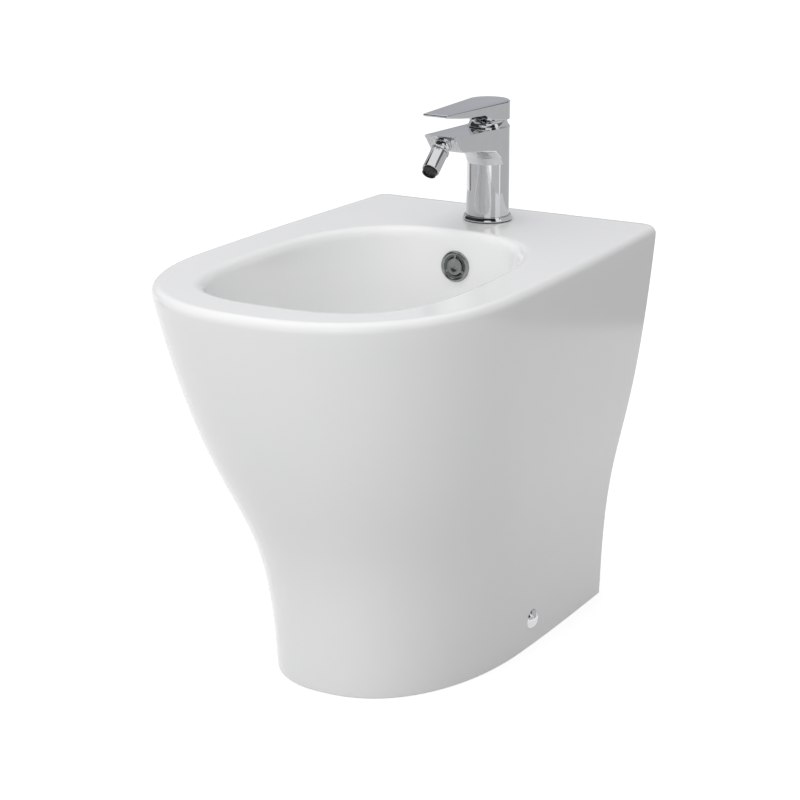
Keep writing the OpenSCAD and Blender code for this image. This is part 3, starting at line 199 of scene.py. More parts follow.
def bowl_half(inset):
    return oval_half(BOWL_W / 2 - inset, BOWL_BACK + inset, BOWL_WIDEST, BOWL_FRONT - inset,
                     BOWL_BACK_N, BOWL_FRONT_N)


def lower_ring(v, t):
    """Ring v down the bowl's lower curve, t outside the bowl's own surface."""
    wide, seat = bowl_half(bowl_inset(BOWL_WALL_DEPTH) - t), round_half(SEAT_R + t)
    inward = 1 - max(0.0, cos(pi / 2 * v)) ** BOWL_FULLNESS
    down = sin(pi / 2 * v) ** BOWL_FULLNESS
    half = [(blend(a[0], b[0], inward), blend(a[1], b[1], inward))
            for a, b in zip(wide, seat)]
    return ring(half, BODY_H - blend(BOWL_WALL_DEPTH, BOWL_DEPTH + t, down))


def between(a, b, shares):
    """Rings between the rings a and b, at the shares of the way."""
    return [[p.lerp(q, t) for p, q in zip(a, b)] for t in shares]


def ceramic_rings():
    """The rings of the whole surface: up the outside, over the rim, down the bowl, through the
    drain, up under the bowl and down the inside of the walls."""
    walls, edges, mouths, lowers, inners = 48, 10, 10, 26, 14
    foot = [ring(wall_half(0, FOOT_EDGE_R * (1 - sin(a)), 0), FOOT_EDGE_R * (1 - cos(a)))
            for a in (0, pi / 6, pi / 3)]
    outside = [ring(wall_half(i / walls, 0, 0), bezier(FLARE_Z, i / walls))
               for i in range(1, walls + 1)]
    rim = []
    for i in range(1, edges + 1):
        a = blend(-radians(RIM_LEAN_FRONT), pi / 2, i / edges)
        rim.append(ring(edge_half(a), BODY_H - RIM_R + RIM_R * sin(a)))
    mouth = []
    for i in range(mouths + 1):
        a = radians(90 - BOWL_DRAFT) * i / mouths
        mouth.append(ring(bowl_half(BOWL_EDGE_R * sin(a)),
                          BODY_H - BOWL_EDGE_R * (1 - cos(a))))
    deck = between(rim[-1], mouth[0], (0.04, 0.25, 0.5, 0.75, 0.96))
    bowl = [lower_ring(i / lowers, 0) for i in range(lowers + 1)]
    upright = between(mouth[-1], bowl[0], (0.04, 0.35, 0.65, 0.96))
    throat = [ring(round_half(DRAIN_HOLE_R - WALL_T / 2), z)
              for z in (SEAT_Z, SEAT_Z - BOSS_H)]
    boss = [ring(round_half(SEAT_R + WALL_T), SEAT_Z - BOSS_H)]
    under = [lower_ring(i / lowers, WALL_T) for i in range(lowers, -1, -1)]
    ceiling = [ring(bowl_half(bowl_inset(DECK_T) - WALL_T), BODY_H - DECK_T),
               ring(wall_half(1, WALL_T, WALL_T), BODY_H - DECK_T)]
    inside = [ring(wall_half(i / inners, WALL_T, WALL_T), bezier(FLARE_Z, i / inners))
              for i in range(inners - 1, -1, -1)]
    return (foot + outside + rim + deck + mouth + upright + bowl + throat + boss + under
            + ceiling + inside)


# ---- Making objects, and cutting them ---------------------------------------------------------

# Edges that fold by more than this many degrees are shown sharp. The china has a limit of its own.
SHARP_ANGLE, CHINA_SHARP_ANGLE = 32, 38


def linked(name, bm):
    """A new object in the scene from a bmesh."""
    mesh = bpy.data.meshes.new(name)
    bm.to_mesh(mesh)
    bm.free()
    made = bpy.data.objects.new(name, mesh)
    bpy.context.scene.collection.objects.link(made)
    return made


def new_object(name, bm):
    """A new object whose faces all point outwards."""
    bmesh.ops.recalc_face_normals(bm, faces=bm.faces)
    return linked(name, bm)


def shade(piece, sharp_angle=SHARP_ANGLE):
    piece.data.shade_smooth()
    piece.data.set_sharp_from_angle(angle=radians(sharp_angle))


def as_object(name, bm):
    """A new object, shaded smooth between its sharp edges."""
    piece = linked(name, bm)
    shade(piece)
    return piece


def cylinder(bm, r, h, place, segments=96):
    """A cylinder of radius r from z 0 to h, in millimetres, put in place by a matrix."""
    where = place @ Matrix.Translation((0, 0, h / 2 * MM))
    bmesh.ops.create_cone(bm, cap_ends=True, segments=segments, radius1=r * MM,
                          radius2=r * MM, depth=h * MM, matrix=where)


def at(x, y, z, turn=0, axis="X"):
    """A place in millimetres, turned there by some degrees, as a matrix."""
    return Matrix.Translation(Vector((x, y, z)) * MM) @ Matrix.Rotation(radians(turn), 4, axis)


def channel_line(t, top):
    """The bowl's back wall in the middle, t outside it, from depth top to the drain."""
    steps = 24
    line = [(WALL_Y - BOWL_BACK - bowl_inset(top) + t, BODY_H - top)]
    for i in range(steps + 1):
        p = lower_ring(i / steps, t)[0] / MM
        line.append((p.y, p.z))
    return line + [(DRAIN_Y, SEAT_Z - t)]


def channel_slab(bm, a, b, w, top):
    """A slab of width w that follows the bowl's back wall between a and b outside it."""
    outline = channel_line(a, top) + channel_line(b, top)[::-1]
    low = [bm.verts.new(Vector((-w / 2, y, z)) * MM) for y, z in outline]
    face = bm.faces.new(low)
    grown = bmesh.ops.extrude_face_region(bm, geom=[face])["geom"]
    verts = [v for v in grown if isinstance(v, bmesh.types.BMVert)]
    bmesh.ops.translate(bm, verts=verts, vec=(w * MM, 0, 0))
    bmesh.ops.recalc_face_normals(bm, faces=bm.faces)


def back_opening(bm):
    """The opening in the back wall, round at its upper corners and open at the floor."""
    reach, below = 12 * WALL_T, 40
    bmesh.ops.create_cube(bm, size=1)
    bmesh.ops.scale(bm, verts=bm.verts, vec=Vector((OPENING_W, reach, OPENING_H + below)) * MM)
    bmesh.ops.translate(bm, verts=bm.verts,
                        vec=Vector((0, WALL_Y, (OPENING_H - below) / 2)) * MM)
    upper = [e for e in bm.edges
             if all(v.co.z > 0 for v in e.verts) and abs(e.verts[0].co.x - e.verts[1].co.x) < MM]
    bmesh.ops.bevel(bm, geom=upper, offset=OPENING_R * MM, offset_type="OFFSET", segments=14,
                    profile=0.5, affect="EDGES", material=-1)


def carve(target, operation, build):
    """Joins or cuts the shape that build makes, and keeps the result as the mesh."""
    bm = bmesh.new()
    build(bm)
    tool = new_object("tool", bm)
    step = target.modifiers.new("carve", "BOOLEAN")
    step.operation, step.object, step.solver = operation, tool, "EXACT"
    graph = bpy.context.evaluated_depsgraph_get()
    result = bpy.data.meshes.new_from_object(target.evaluated_get(graph))
    target.modifiers.clear()
    target.data = result
    bpy.data.objects.remove(tool)


def fixing_x():
    """How far out the body's side is at the side fixings, found by halving."""
    halvings = 12
    low, high = 0, 1
    for _ in range(halvings):
        u = (low + high) / 2
        low, high = (u, high) if bezier(FLARE_Z, u) < FIXING_H else (low, u)
    share = flare_share(u)
    back = blend(FOOT_BACK_W, RIM_BACK_W, share) / 2
    t = (FIXING_FROM_WALL - CORNER_R) / (blend(FOOT_WIDEST, RIM_WIDEST, share) - CORNER_R)
    return blend(back, bezier(FLARE_HW, u), sin(pi / 2 * min(1, t)))


def ceramic():
    """The china body, with its overflow duct joined on and its holes and seats cut."""
    body = new_object("china_body", rolled(ceramic_rings(), closed=True))
    overflow = at(0, WALL_Y - BOWL_BACK - bowl_inset(OVERFLOW_DEPTH),
                  BODY_H - OVERFLOW_DEPTH, 90 - BOWL_DRAFT)
    spot_x = fixing_x() - SPOT_DEPTH
    sides = [at(side * spot_x, FIXING_Y, FIXING_H, side * 90, "Y") for side in (-1, 1)]

    def duct(bm):
        channel_slab(bm, WALL_T - CUT, WALL_T + CHANNEL_DEPTH + CHANNEL_WALL,
                     CHANNEL_W + 2 * CHANNEL_WALL, DECK_T - CUT)

    def openings(bm):
        channel_slab(bm, WALL_T, WALL_T + CHANNEL_DEPTH, CHANNEL_W,
                     OVERFLOW_DEPTH - OVERFLOW_R + CUT)
        cylinder(bm, TAP_HOLE_R, DECK_T + 2 * CUT, at(0, TAP_Y, BODY_H - DECK_T - CUT))
        for side in sides:
            hole = side @ at(0, 0, -WALL_T - 2 * CUT)
            cylinder(bm, FIXING_HOLE_R, WALL_T + 6 * CUT, hole, 48)

    def holes(bm):
        cylinder(bm, DRAIN_HOLE_R, BOSS_H + 2 * CUT, at(0, DRAIN_Y, SEAT_Z - BOSS_H - CUT))
        depth = WALL_T + CHANNEL_DEPTH / 2
        cylinder(bm, OVERFLOW_R, depth + CUT, overflow @ at(0, 0, -depth), 64)

    def seats(bm):
        cylinder(bm, COVER_R + FIT_GAP / 2, COVER_T, overflow, 64)
        for side in sides:
            cylinder(bm, CAP_R + 2 * FIT_GAP, 4 * CUT, side, 64)

    carve(body, "UNION", duct)
    for build in (openings, back_opening, holes, seats):
        carve(body, "DIFFERENCE", build)
    shade(body, CHINA_SHARP_ANGLE)
    return body


# ---- Shader maths -----------------------------------------------------------------------------

# A Mix node's two colours among its inputs, and their mix among its outputs.
COLOUR_A, COLOUR_B, MIXED = 6, 7, 2
SEEN_RAYS = ("Is Camera Ray", "Is Glossy Ray", "Is Transmission Ray")


class Value:
    """One value in a node tree. Arithmetic on it adds Math nodes."""

    def __init__(self, nodes, socket):
        self.nodes, self.socket = nodes, socket

    def math(self, operation, *values):
        return self.nodes.node("ShaderNodeMath", {"operation": operation}, dict(enumerate(values)))

    def __add__(self, other):
        return self.math("ADD", self, other)

    def __rsub__(self, other):
        return self.math("SUBTRACT", other, self)

    def __mul__(self, other):
        return self.math("MULTIPLY", self, other)

    def __pow__(self, other):
        return self.math("POWER", self, other)

    def above(self, other):
        return self.math("GREATER_THAN", self, other)

    __radd__, __rmul__ = __add__, __mul__


class Nodes:
    """A node tree, and the one way in which nodes are added to it."""

    def __init__(self, tree):
        self.tree = tree

    def feed(self, socket, value):
        if isinstance(value, Value):
            self.tree.links.new(value.socket, socket)
        else:
            socket.default_value = value

    def node(self, kind, settings=None, inputs=None, output=0):
        made = self.tree.nodes.new(kind)
        for name, value in (settings or {}).items():
            setattr(made, name, value)
        for name, value in (inputs or {}).items():
            self.feed(made.inputs[name], value)
        return Value(self, made.outputs[output])

    def mix(self, share, a, b):
        return self.node("ShaderNodeMix", {"data_type": "RGBA"},
                         {"Factor": share, COLOUR_A: a, COLOUR_B: b}, output=MIXED)

    def seen(self):
        """1 for what the camera, polished metal or glass sees, and 0 for all other light."""
        return sum(self.node("ShaderNodeLightPath", output=ray) for ray in SEEN_RAYS)


class Finish(Nodes):
    """A material with its Principled shader, built from expressions on Values."""

    def __init__(self, name, **fixed):
        self.material = bpy.data.materials.new(name)
        self.material.use_nodes = True
        super().__init__(self.material.node_tree)
        self.shader = self.tree.nodes["Principled BSDF"]
        self.use(**fixed)
        self.place = self.node("ShaderNodeTexCoord", output="Object")

    def noise(self, scale, detail=2.0, stretch=None):
        where = self.place
        if stretch:
            where = self.node("ShaderNodeMapping", inputs={"Vector": where, "Scale": stretch})
        return self.node("ShaderNodeTexNoise",
                         inputs={"Vector": where, "Scale": scale, "Detail": detail})

    def height(self):
        return self.node("ShaderNodeSeparateXYZ", inputs={0: self.place}, output="Z")

    def use(self, **channels):
        for name, value in channels.items():
            self.feed(self.shader.inputs[name.replace("_", " ")], value)
        return self

    def bump(self, height, depth_mm, strength=1.0):
        return self.use(Normal=self.node("ShaderNodeBump", inputs={
            "Height": height, "Distance": depth_mm * MM, "Strength": strength}))


def grey(v):
    return (v, v, v, 1.0)


# ---- Finishes ---------------------------------------------------------------------------------


def china():
    """Clear glaze over white clay, with the clay bare where the foot stands on the floor."""
    f = Finish("glazed_china", IOR=1.52, Specular_IOR_Level=0.35)
    cloud, wave = f.noise(9, 3), f.noise(28, 1)
    bare = 1 - f.height().above(0.7 * MM)
    glaze = f.mix(cloud, (0.855, 0.865, 0.868, 1), (0.885, 0.885, 0.88, 1))
    f.use(Base_Color=f.mix(bare, glaze, (0.72, 0.68, 0.62, 1)),
          Roughness=0.1 + 0.07 * f.noise(60) + 0.65 * bare)
    return f.bump(wave + 0.02 * f.noise(420), 0.12, 0.25).material


def chrome():
    f = Finish("polished_chrome", Metallic=1.0)
    smear = f.noise(70, 3)
    f.use(Base_Color=f.mix(smear, (0.64, 0.65, 0.668, 1), (0.70, 0.708, 0.72, 1)),
          Roughness=0.035 + 0.05 * smear ** 2)
    return f.bump(f.noise(45, 1), 0.01, 0.4).material


def satin_chrome():
    f = Finish("satin_chrome", Metallic=1.0)
    scuff = f.noise(90, 3)
    f.use(Base_Color=f.mix(scuff, (0.30, 0.315, 0.31, 1), (0.40, 0.415, 0.41, 1)),
          Roughness=0.2 + 0.12 * scuff)
    return f.bump(f.noise(900, 1), 0.01, 0.4).material


def brass():
    f = Finish("turned_brass", Metallic=1.0)
    line = f.noise(240, 2, stretch=(1, 1, 14))
    f.use(Base_Color=f.mix(f.noise(35, 4), (0.62, 0.44, 0.17, 1), (0.80, 0.62, 0.28, 1)),
          Roughness=0.24 + 0.2 * line)
    return f.bump(line, 0.02, 0.6).material


def steel():
    f = Finish("plain_steel", Metallic=1.0)
    line = f.noise(300, 2, stretch=(10, 1, 1))
    f.use(Base_Color=f.mix(f.noise(50, 3), grey(0.48), grey(0.62)),
          Roughness=0.26 + 0.18 * line)
    return f.bump(line, 0.015, 0.6).material


def rubber():
    f = Finish("black_rubber")
    bloom = f.noise(60, 4)
    f.use(Base_Color=f.mix(bloom, grey(0.012), grey(0.035)), Roughness=0.62 + 0.25 * bloom)
    return f.bump(f.noise(900, 2), 0.05, 0.5).material


def plastic(name, dark, light, rough):
    f = Finish(name)
    cloud = f.noise(40, 3)
    f.use(Base_Color=f.mix(cloud, dark, light), Roughness=rough + 0.12 * f.noise(120))
    return f.bump(f.noise(1400, 1), 0.03, 0.35).material


def alumina():
    f = Finish("lapped_alumina")
    f.use(Base_Color=f.mix(f.noise(500, 2), (0.70, 0.62, 0.55, 1), (0.78, 0.72, 0.66, 1)),
          Roughness=0.3 + 0.15 * f.noise(200))
    return f.bump(f.noise(1500, 1), 0.01, 0.3).material


FINISHES = {
    "china": china(), "chrome": chrome(), "satin": satin_chrome(), "brass": brass(),
    "steel": steel(), "rubber": rubber(), "alumina": alumina(),
    "white_plastic": plastic("white_plastic", (0.74, 0.74, 0.72, 1), (0.80, 0.80, 0.78, 1), 0.35),
    "grey_plastic": plastic("grey_plastic", grey(0.24), grey(0.30), 0.4),
    "black_plastic": plastic("black_plastic", grey(0.010), grey(0.022), 0.38),
}
SLOTS = {row["node"]: row["material_slot"] for row in frame["record"]["subparts"]}
# The overflow's ring is a duller chrome than the tap.
DULLER = {"overflow_cover": "satin"}


def finish_with(piece, slot, finish=None):
    piece.data.materials.clear()
    piece.data.materials.append(FINISHES[finish or slot])


def placed(piece, body, node):
    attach(piece, body)
    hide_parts(node)
    finish_with(piece, SLOTS[node], DULLER.get(node))


# ---- The tap ----------------------------------------------------------------------------------

COLUMN_R, COLUMN_H, COLUMN_FOOT, RING_R, RING_H = 22, 97, 2.5, 25.5, 5.5
DOME_R, DOME_T, DOME_MOUTH_R, DOME_FLANGE_R, DOME_BORE_R = 21.5, 1.2, 12, 21.4, 19.67
SPOUT_REACH, SPOUT_RISE, SPOUT_TIP_T, SPOUT_TIP_W = 104.5, 5.5, 17.5, 34
SPOUT_ROOT_H, AERATOR_DROP, PIVOT_DROP = 72.5, 40, 5
BALL_R, NECK_R, BALL_BORE_R, RETAINER_R = 8, 5, 2, 8.95
AERATOR_R, COLLAR_Z, COLLAR_R, HOUSING_Z, AERATOR_REACH = 8.8, 7.5, 9.6, 10.5, 34
NECK_END, COLLAR_END, SHELL_BORE_R = HOUSING_Z + 4, COLLAR_Z + 2.9, AERATOR_R - 1.15
UNDERCUT = SPOUT_TIP_T * tan(radians(AERATOR_DROP))
BALL_Y = TAP_Y - SPOUT_REACH + UNDERCUT / 2 + sin(radians(AERATOR_DROP))
BALL_Z = BODY_H + COLUMN_H + SPOUT_RISE - SPOUT_TIP_T / 2 - cos(radians(AERATOR_DROP))
AT_BALL = at(0, BALL_Y, BALL_Z, 90 + AERATOR_DROP)
AT_PIVOT = at(0, TAP_Y, BODY_H + COLUMN_H - PIVOT_DROP)
AT_TAP = at(0, TAP_Y, BODY_H)

# The tap body before it is smoothed: how many sides it has, the heights of its rings below the
# spout, and the shares of the way to the tip at which the spout has one.
TAP_SIDES, COLUMN_STEPS, SPOUT_STEPS = 16, (6, 30, 50), (0.07, 0.2, 0.55, 0.9, 0.97, 1)
# Smoothing draws a ring's corners in, so they start further out by this factor.
SWELL = 1 / (2 / 3 + cos(2 * pi / TAP_SIDES) / 3)
# The hollow in which the spout's underside runs into the column: its depth, and the share of the
# way to the tip at which it ends. The underside starts a little higher than the CAD's.
ROOT_LIFT, HOLLOW, HOLLOW_END = 1, 13, 0.25
UNDER = SPOUT_ROOT_H + ROOT_LIFT - HOLLOW
# Which folds stay sharp: by their angle, how near the column the spout's are left soft, how high
# the foot's lie, and how sharp the ends' and the spout's are.
FOLD_ANGLE, SOFT_REACH, FOOT_ZONE, END_CREASE, SPOUT_CREASE = 50, 35, 3, 0.85, 0.4
# A tenth of a millimetre, for comparing heights.
NEAR = 0.1


def tap_column():
    """The tap's column as a bmesh of few sides, closed at both ends."""
    heights = (COLUMN_FOOT, *COLUMN_STEPS, UNDER, COLUMN_H - 3, COLUMN_H)
    rings = [[Vector((COLUMN_R * SWELL * cos(2 * pi * k / TAP_SIDES),
                      COLUMN_R * SWELL * sin(2 * pi * k / TAP_SIDES), h)) * MM
              for k in range(TAP_SIDES)] for h in heights]
    bm = rolled(rings, closed=False)
    bmesh.ops.holes_fill(bm, edges=bm.edges, sides=0)
    return bm


def spout_low(share):
    """Height of the spout's underside above the deck, at a share of the way to its tip."""
    hollow = HOLLOW * max(0, 1 - share / HOLLOW_END) ** 2
    return blend(SPOUT_ROOT_H + ROOT_LIFT, COLUMN_H + SPOUT_RISE - SPOUT_TIP_T, share) - hollow


def spot(v):
    """A vertex's place, rounded so that an extruded copy of it has the same one."""
    return tuple(round(c, 7) for c in v.co)


def draw_out_spout(bm):
    """Draws the upper front of the column out to the spout's tip, one step at a time."""
    front = [f for f in bm.faces if len(f.verts) == 4
             and all(v.co.y < 1e-6 and v.co.z > (UNDER - NEAR) * MM for v in f.verts)]
    root = {v: v.co.copy() for f in front for v in f.verts}
    for share in SPOUT_STEPS:
        before = {spot(v): start for v, start in root.items()}
        grown = bmesh.ops.extrude_face_region(bm, geom=front)["geom"]
        root = {v: before[spot(v)] for v in grown if isinstance(v, bmesh.types.BMVert)}
        front = [f for f in grown if isinstance(f, bmesh.types.BMFace)]
        for v, start in root.items():
            up = (start.z / MM - UNDER) / (COLUMN_H - UNDER)
            tip = Vector((start.x / MM / COLUMN_R / SWELL * SPOUT_TIP_W / 2,
                          -SPOUT_REACH + (1 - up) * UNDERCUT, 0)) * MM
            v.co = start.lerp(tip, share)
            v.co.z = blend(spout_low(share), COLUMN_H + SPOUT_RISE * share, up) * MM


def crease_folds(bm):
    """Keeps the folds at the top and foot sharp, and those of the spout half sharp."""
    crease = bm.edges.layers.float.new("crease_edge")
    for edge in bm.edges:
        if len(edge.link_faces) == 2 and edge.calc_face_angle() > radians(FOLD_ANGLE):
            upper = min(v.co.z for v in edge.verts) > (COLUMN_H - NEAR) * MM
            foot = edge.verts[0].co.z < FOOT_ZONE * MM
            near_column = max(v.co.y for v in edge.verts) > -SOFT_REACH * MM
            if upper or foot:
                edge[crease] = END_CREASE
            elif not near_column:
                edge[crease] = SPOUT_CREASE


def tap_body():
    """A round column whose front half is drawn out to the spout's tip, then smoothed."""
    bm = tap_column()
    draw_out_spout(bm)
    crease_folds(bm)
    bmesh.ops.recalc_face_normals(bm, faces=bm.faces)
    bmesh.ops.transform(bm, matrix=AT_TAP, verts=bm.verts)
    piece = as_object("tap_body", bm)
    smooth = piece.modifiers.new("smoothed", "SUBSURF")
    smooth.levels = smooth.render_levels = 4

    def socket(tool):
        bmesh.ops.create_uvsphere(tool, u_segments=96, v_segments=48,
                                  radius=(BALL_R + RUN_GAP) * MM, matrix=AT_BALL)
        cylinder(tool, RETAINER_R + RUN_GAP, 12, AT_BALL @ at(0, 0, -CUT))

    carve(piece, "DIFFERENCE", socket)
    shade(piece)
    placed(piece, "body", "mixer_body")


def arc(r, z, centre_r=0, centre_z=0, start=0, end=90, steps=24):
    """Points of an arc in the profile plane, as (radius, height); r and z are its half axes."""
    return [(centre_r + r * cos(radians(blend(start, end, i / steps))),
             centre_z + z * sin(radians(blend(start, end, i / steps)))) for i in range(steps + 1)]


def rise_angle(height, r):
    """Where a circle of radius r reaches a height, in degrees."""
    return asin(height / r) / pi * 180


def reach_angle(reach, r):
    """Where a circle of radius r comes in to a distance from its axis, in degrees."""
    return acos(reach / r) / pi * 180


def turned(node, name, body, profile, place):
    """A ring piece: a closed profile of (radius, height) points spun round its axis."""
    bm = bmesh.new()
    verts = [bm.verts.new((r * MM, 0, h * MM)) for r, h in profile]
    edges = [bm.edges.new(pair) for pair in zip(verts, verts[1:] + verts[:1])]
    bmesh.ops.spin(bm, geom=verts + edges, cent=(0, 0, 0), axis=(0, 0, 1), angle=2 * pi,
                   steps=128, use_merge=True)
    bmesh.ops.remove_doubles(bm, verts=bm.verts, dist=1e-7)
    bmesh.ops.recalc_face_normals(bm, faces=bm.faces)
    bmesh.ops.transform(bm, matrix=place, verts=bm.verts)
    placed(as_object(name, bm), body, node)


def aerator_rings():
    """The ball and neck, the ring that holds the ball, the collar and the housing."""
    ball_back = -(BALL_R ** 2 - BALL_BORE_R ** 2) ** 0.5
    neck_z = (BALL_R ** 2 - NECK_R ** 2) ** 0.5
    turned("swivel_ball", "aerator_ball", "aerator",
           arc(BALL_R, BALL_R, start=rise_angle(ball_back, BALL_R),
               end=rise_angle(neck_z, BALL_R), steps=48)
           + [(NECK_R, NECK_END), (BALL_BORE_R, NECK_END)], AT_BALL)
    turned("ball_retainer", "aerator_retainer", "body",
           arc(BALL_R + RUN_GAP, BALL_R + RUN_GAP, start=10.5, end=-7, steps=8)
           + [(RETAINER_R, -1)] + arc(0.7, 0.7, RETAINER_R - 0.7, 1.1, 0, 90, 8), AT_BALL)
    turned("swivel_collar", "aerator_collar", "aerator",
           [(NECK_R + RUN_GAP, COLLAR_Z)]
           + arc(0.6, 0.6, COLLAR_R - 0.6, COLLAR_Z + 0.6, -90, 0, 6)
           + arc(0.6, 0.6, COLLAR_R - 0.6, COLLAR_Z + 2.2, 0, 90, 6)
           + [(AERATOR_R - 0.8, COLLAR_END), (NECK_R + RUN_GAP, COLLAR_END)], AT_BALL)
    turned("aerator_housing", "aerator_shell", "aerator",
           [(NECK_R + RUN_GAP, HOUSING_Z)]
           + arc(0.8, 0.8, AERATOR_R - 0.8, HOUSING_Z + 0.8, -90, 0, 8)
           + arc(0.5, 0.5, AERATOR_R - 0.5, AERATOR_REACH - 0.5, 0, 90, 6)
           + [(SHELL_BORE_R, AERATOR_REACH), (SHELL_BORE_R, NECK_END),
              (NECK_R + RUN_GAP, NECK_END)], AT_BALL)


def dome():
    """The dome between the column and the lever, with its flange."""
    inner, flange_top = DOME_R - DOME_T, PIVOT_DROP + 1.2
    turned("cartridge_dome", "tap_dome", "body",
           [(DOME_BORE_R, PIVOT_DROP), (DOME_FLANGE_R, PIVOT_DROP)]
           + arc(0.4, 0.4, DOME_FLANGE_R - 0.4, flange_top - 0.4, 0, 90, 5)
           + arc(DOME_R, DOME_R, start=rise_angle(flange_top, DOME_R),
                 end=reach_angle(DOME_MOUTH_R, DOME_R), steps=32)
           + arc(inner, inner, start=reach_angle(DOME_MOUTH_R, inner),
                 end=rise_angle(PIVOT_DROP, inner) + 0.3, steps=32), AT_PIVOT)


def base_ring():
    """The ring round the column's foot, narrower towards its top."""
    turned("base_ring", "tap_base_ring", "body",
           [(COLUMN_R - 4, 1)] + arc(0.5, 0.5, RING_R - 0.5, 1.5, -90, 0, 5)
           + arc(0.5, 0.5, RING_R - 0.5, 2.2, 0, 21, 4)
           + arc(0.5, 0.5, RING_R - 1.5, RING_H - 0.5, 21, 90, 6)
           + arc(0.5, 0.4, COLUMN_R + 0.6, RING_H - 0.4, 90, 180, 5)
           + [(COLUMN_R + 0.1, COLUMN_FOOT), (COLUMN_R - 4, COLUMN_FOOT)], AT_TAP)


# ---- The object -------------------------------------------------------------------------------

# Each node that is shown as a copy of itself: the copy's name, its body, and the width of its
# broken edges in millimetres.
SHOWN = [
    ("lever_handle", "tap_lever", "lever", 0.12),
    ("aerator_insert", "aerator_face", "aerator", 0.15),
    ("overflow_cover", "overflow_ring", "body", 0.15),
    ("screw_caps", "side_caps", "body", 0),
    ("waste_plug", "plug_cap", "plug", 0),
    ("waste_body", "waste_pipe_top", "body", 0.3),
]


def dressed(node, name, body, edge):
    """A copy of a CAD node with merged corners, smooth curves and softly broken edges."""
    bm = bmesh.new()
    bm.from_mesh(frame["nodes"][node].data)
    bmesh.ops.remove_doubles(bm, verts=bm.verts, dist=2e-6)
    bmesh.ops.dissolve_limit(bm, angle_limit=radians(0.6), verts=bm.verts, edges=bm.edges,
                             delimit={"NORMAL"})
    piece = as_object(name, bm)
    if edge:
        soft = piece.modifiers.new("broken_edge", "BEVEL")
        soft.width, soft.segments, soft.limit_method = edge * MM, 3, "ANGLE"
        soft.angle_limit, soft.harden_normals = radians(SHARP_ANGLE), True
        soft.use_clamp_overlap = True
    placed(piece, body, node)


for node, shape in frame["nodes"].items():
    shape.data.materials.clear()
    shape.data.materials.append(FINISHES[SLOTS[node]])

body = ceramic()
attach(body, "body")
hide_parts("ceramic_deck", "ceramic_bowl", "ceramic_skirt")
finish_with(body, "china")

for node, name, rider, edge in SHOWN:
    dressed(node, name, rider, edge)
tap_body()
aerator_rings()
dome()
base_ring()


# ---- Floor, light and camera ------------------------------------------------------------------

# The soft light's level and the way it leans, and the floor's reach, colour and glow.
SKY, SKY_LEAN = 0.62, (-0.24, -0.10, 0.12)
FLOOR_REACH, FLOOR_TONE, FLOOR_GLOW = 12, 0.5, 0.7
# Each card's name, direction in degrees, lower and upper edge, width, distance and colour.
CARDS = [
    ("card_behind", 120, 0.3, 2.0, 3.2, 1.6, (0.46, 0.465, 0.50, 1)),
    ("card_right", 50, 0.0, 0.95, 1.7, 0.9, grey(0.58)),
    ("card_right_high", 40, 0.95, 1.7, 1.7, 0.95, grey(0.16)),
    ("card_front", -70, 0.47, 2.8, 3.2, 1.4, grey(0.02)),
    ("card_front_left", -155, 0.47, 2.4, 2.2, 1.45, grey(0.04)),
    ("card_low_left", -143, 0.0, 0.45, 2.3, 1.3, grey(0.6)),
    ("card_flash", -62, 0.46, 1.1, 0.75, 1.3, grey(1.0)),
    ("card_low_right", -22, 0.0, 0.45, 0.9, 1.1, grey(0.64)),
    ("card_streak", -168, 0.05, 0.4, 0.1, 1.15, grey(0.04)),
]
# Each lamp's name, place and power. All have one size and point at one place.
LAMPS = [
    ("right_front", (1.1, -2.7, 1.4), 17),
    ("top_left", (-1.8, -0.9, 2.4), 3),
    ("top", (0.0, -0.3, 2.9), 15),
    ("low_front", (-0.3, -2.9, 0.5), 8),
]
LAMP_SIZE, LAMP_AIM = 1.4, (0, 0, 0.3)


def floor():
    bm = bmesh.new()
    bmesh.ops.create_grid(bm, x_segments=1, y_segments=1, size=FLOOR_REACH)
    slab = new_object("studio_floor", bm)
    f = Finish("studio_white", Base_Color=grey(FLOOR_TONE), Roughness=1.0,
               Specular_IOR_Level=0.0, Emission_Color=(1, 1, 1, 1))
    f.use(Emission_Strength=FLOOR_GLOW * f.seen())
    slab.data.materials.append(f.material)


def world():
    """White wherever the camera, polished metal or glass sees it, and a soft light to the rest,
    brighter from the left and from above."""
    sky = bpy.data.worlds.new("studio")
    bpy.context.scene.world = sky
    sky.use_nodes = True
    nodes = Nodes(sky.node_tree)
    way = nodes.node("ShaderNodeTexCoord", output="Generated")
    lean = nodes.node("ShaderNodeVectorMath", {"operation": "DOT_PRODUCT"},
                      {0: way, 1: SKY_LEAN}, output="Value")
    nodes.feed(sky.node_tree.nodes["Background"].inputs["Color"],
               nodes.mix(nodes.seen(), lean + SKY, grey(1)))


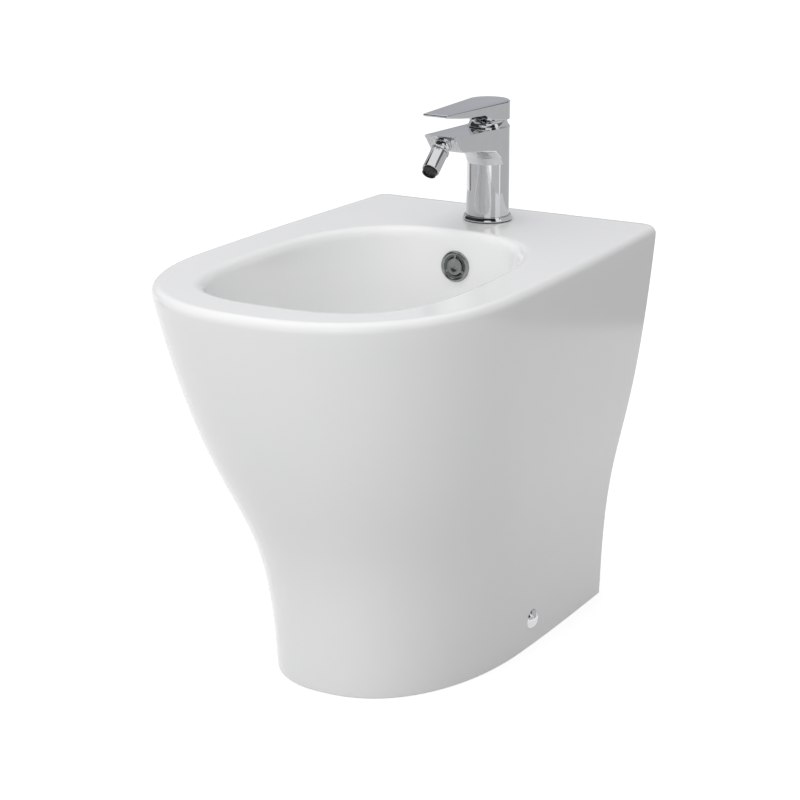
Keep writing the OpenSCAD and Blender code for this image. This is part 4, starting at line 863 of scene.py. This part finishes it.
def card(name, azimuth, low, high, width, distance, tone):
    """An upright card beside the object, which gives its polished pieces something to mirror."""
    bm = bmesh.new()
    bmesh.ops.create_grid(bm, x_segments=1, y_segments=1, size=0.5)
    bmesh.ops.scale(bm, verts=bm.verts, vec=(width, high - low, 1))
    bmesh.ops.rotate(bm, verts=bm.verts, matrix=Matrix.Rotation(pi / 2, 3, "X"))
    bmesh.ops.translate(bm, verts=bm.verts, vec=(0, -distance, (high + low) / 2))
    bmesh.ops.rotate(bm, verts=bm.verts,
                     matrix=Matrix.Rotation(radians(azimuth + 90), 3, "Z"))
    bmesh.ops.translate(bm, verts=bm.verts, vec=(0, TAP_Y * MM, 0))
    made = new_object(name, bm)
    f = Finish(name, Base_Color=grey(0), Roughness=1.0, Specular_IOR_Level=0.0,
               Emission_Color=tone, Emission_Strength=1.0)
    made.data.materials.append(f.material)
    made.visible_camera = made.visible_diffuse = made.visible_shadow = False
    made.visible_transmission = False


def lamp(name, place, power):
    data = bpy.data.lights.new(name, "AREA")
    data.shape, data.size, data.energy = "SQUARE", LAMP_SIZE, power
    made = bpy.data.objects.new(name, data)
    bpy.context.scene.collection.objects.link(made)
    made.location, made.visible_glossy = place, False
    aim = Vector(LAMP_AIM) - Vector(place)
    made.rotation_euler = aim.to_track_quat("-Z", "Y").to_euler()


def camera():
    """The photograph's view: a long lens a little above, from the front and right."""
    data = bpy.data.cameras.new("camera")
    data.sensor_width, data.lens, data.clip_end = 36, 119.32, 100
    eye = bpy.data.objects.new("camera", data)
    place = Vector((1.22937, -2.16484, 0.98413))
    right = Vector((0.87155, 0.49031, 0.00076))
    up = Vector((-0.13694, 0.24191, 0.96059))
    back = Vector((0.47080, -0.83730, 0.27798))
    eye.matrix_world = Matrix.LocRotScale(place, Matrix((right, up, back)).transposed(), None)
    bpy.context.scene.collection.objects.link(eye)
    bpy.context.scene.camera = eye


floor()
world()
for row in CARDS:
    card(*row)
for row in LAMPS:
    lamp(*row)
camera()
bpy.context.scene.view_settings.view_transform = "Standard"
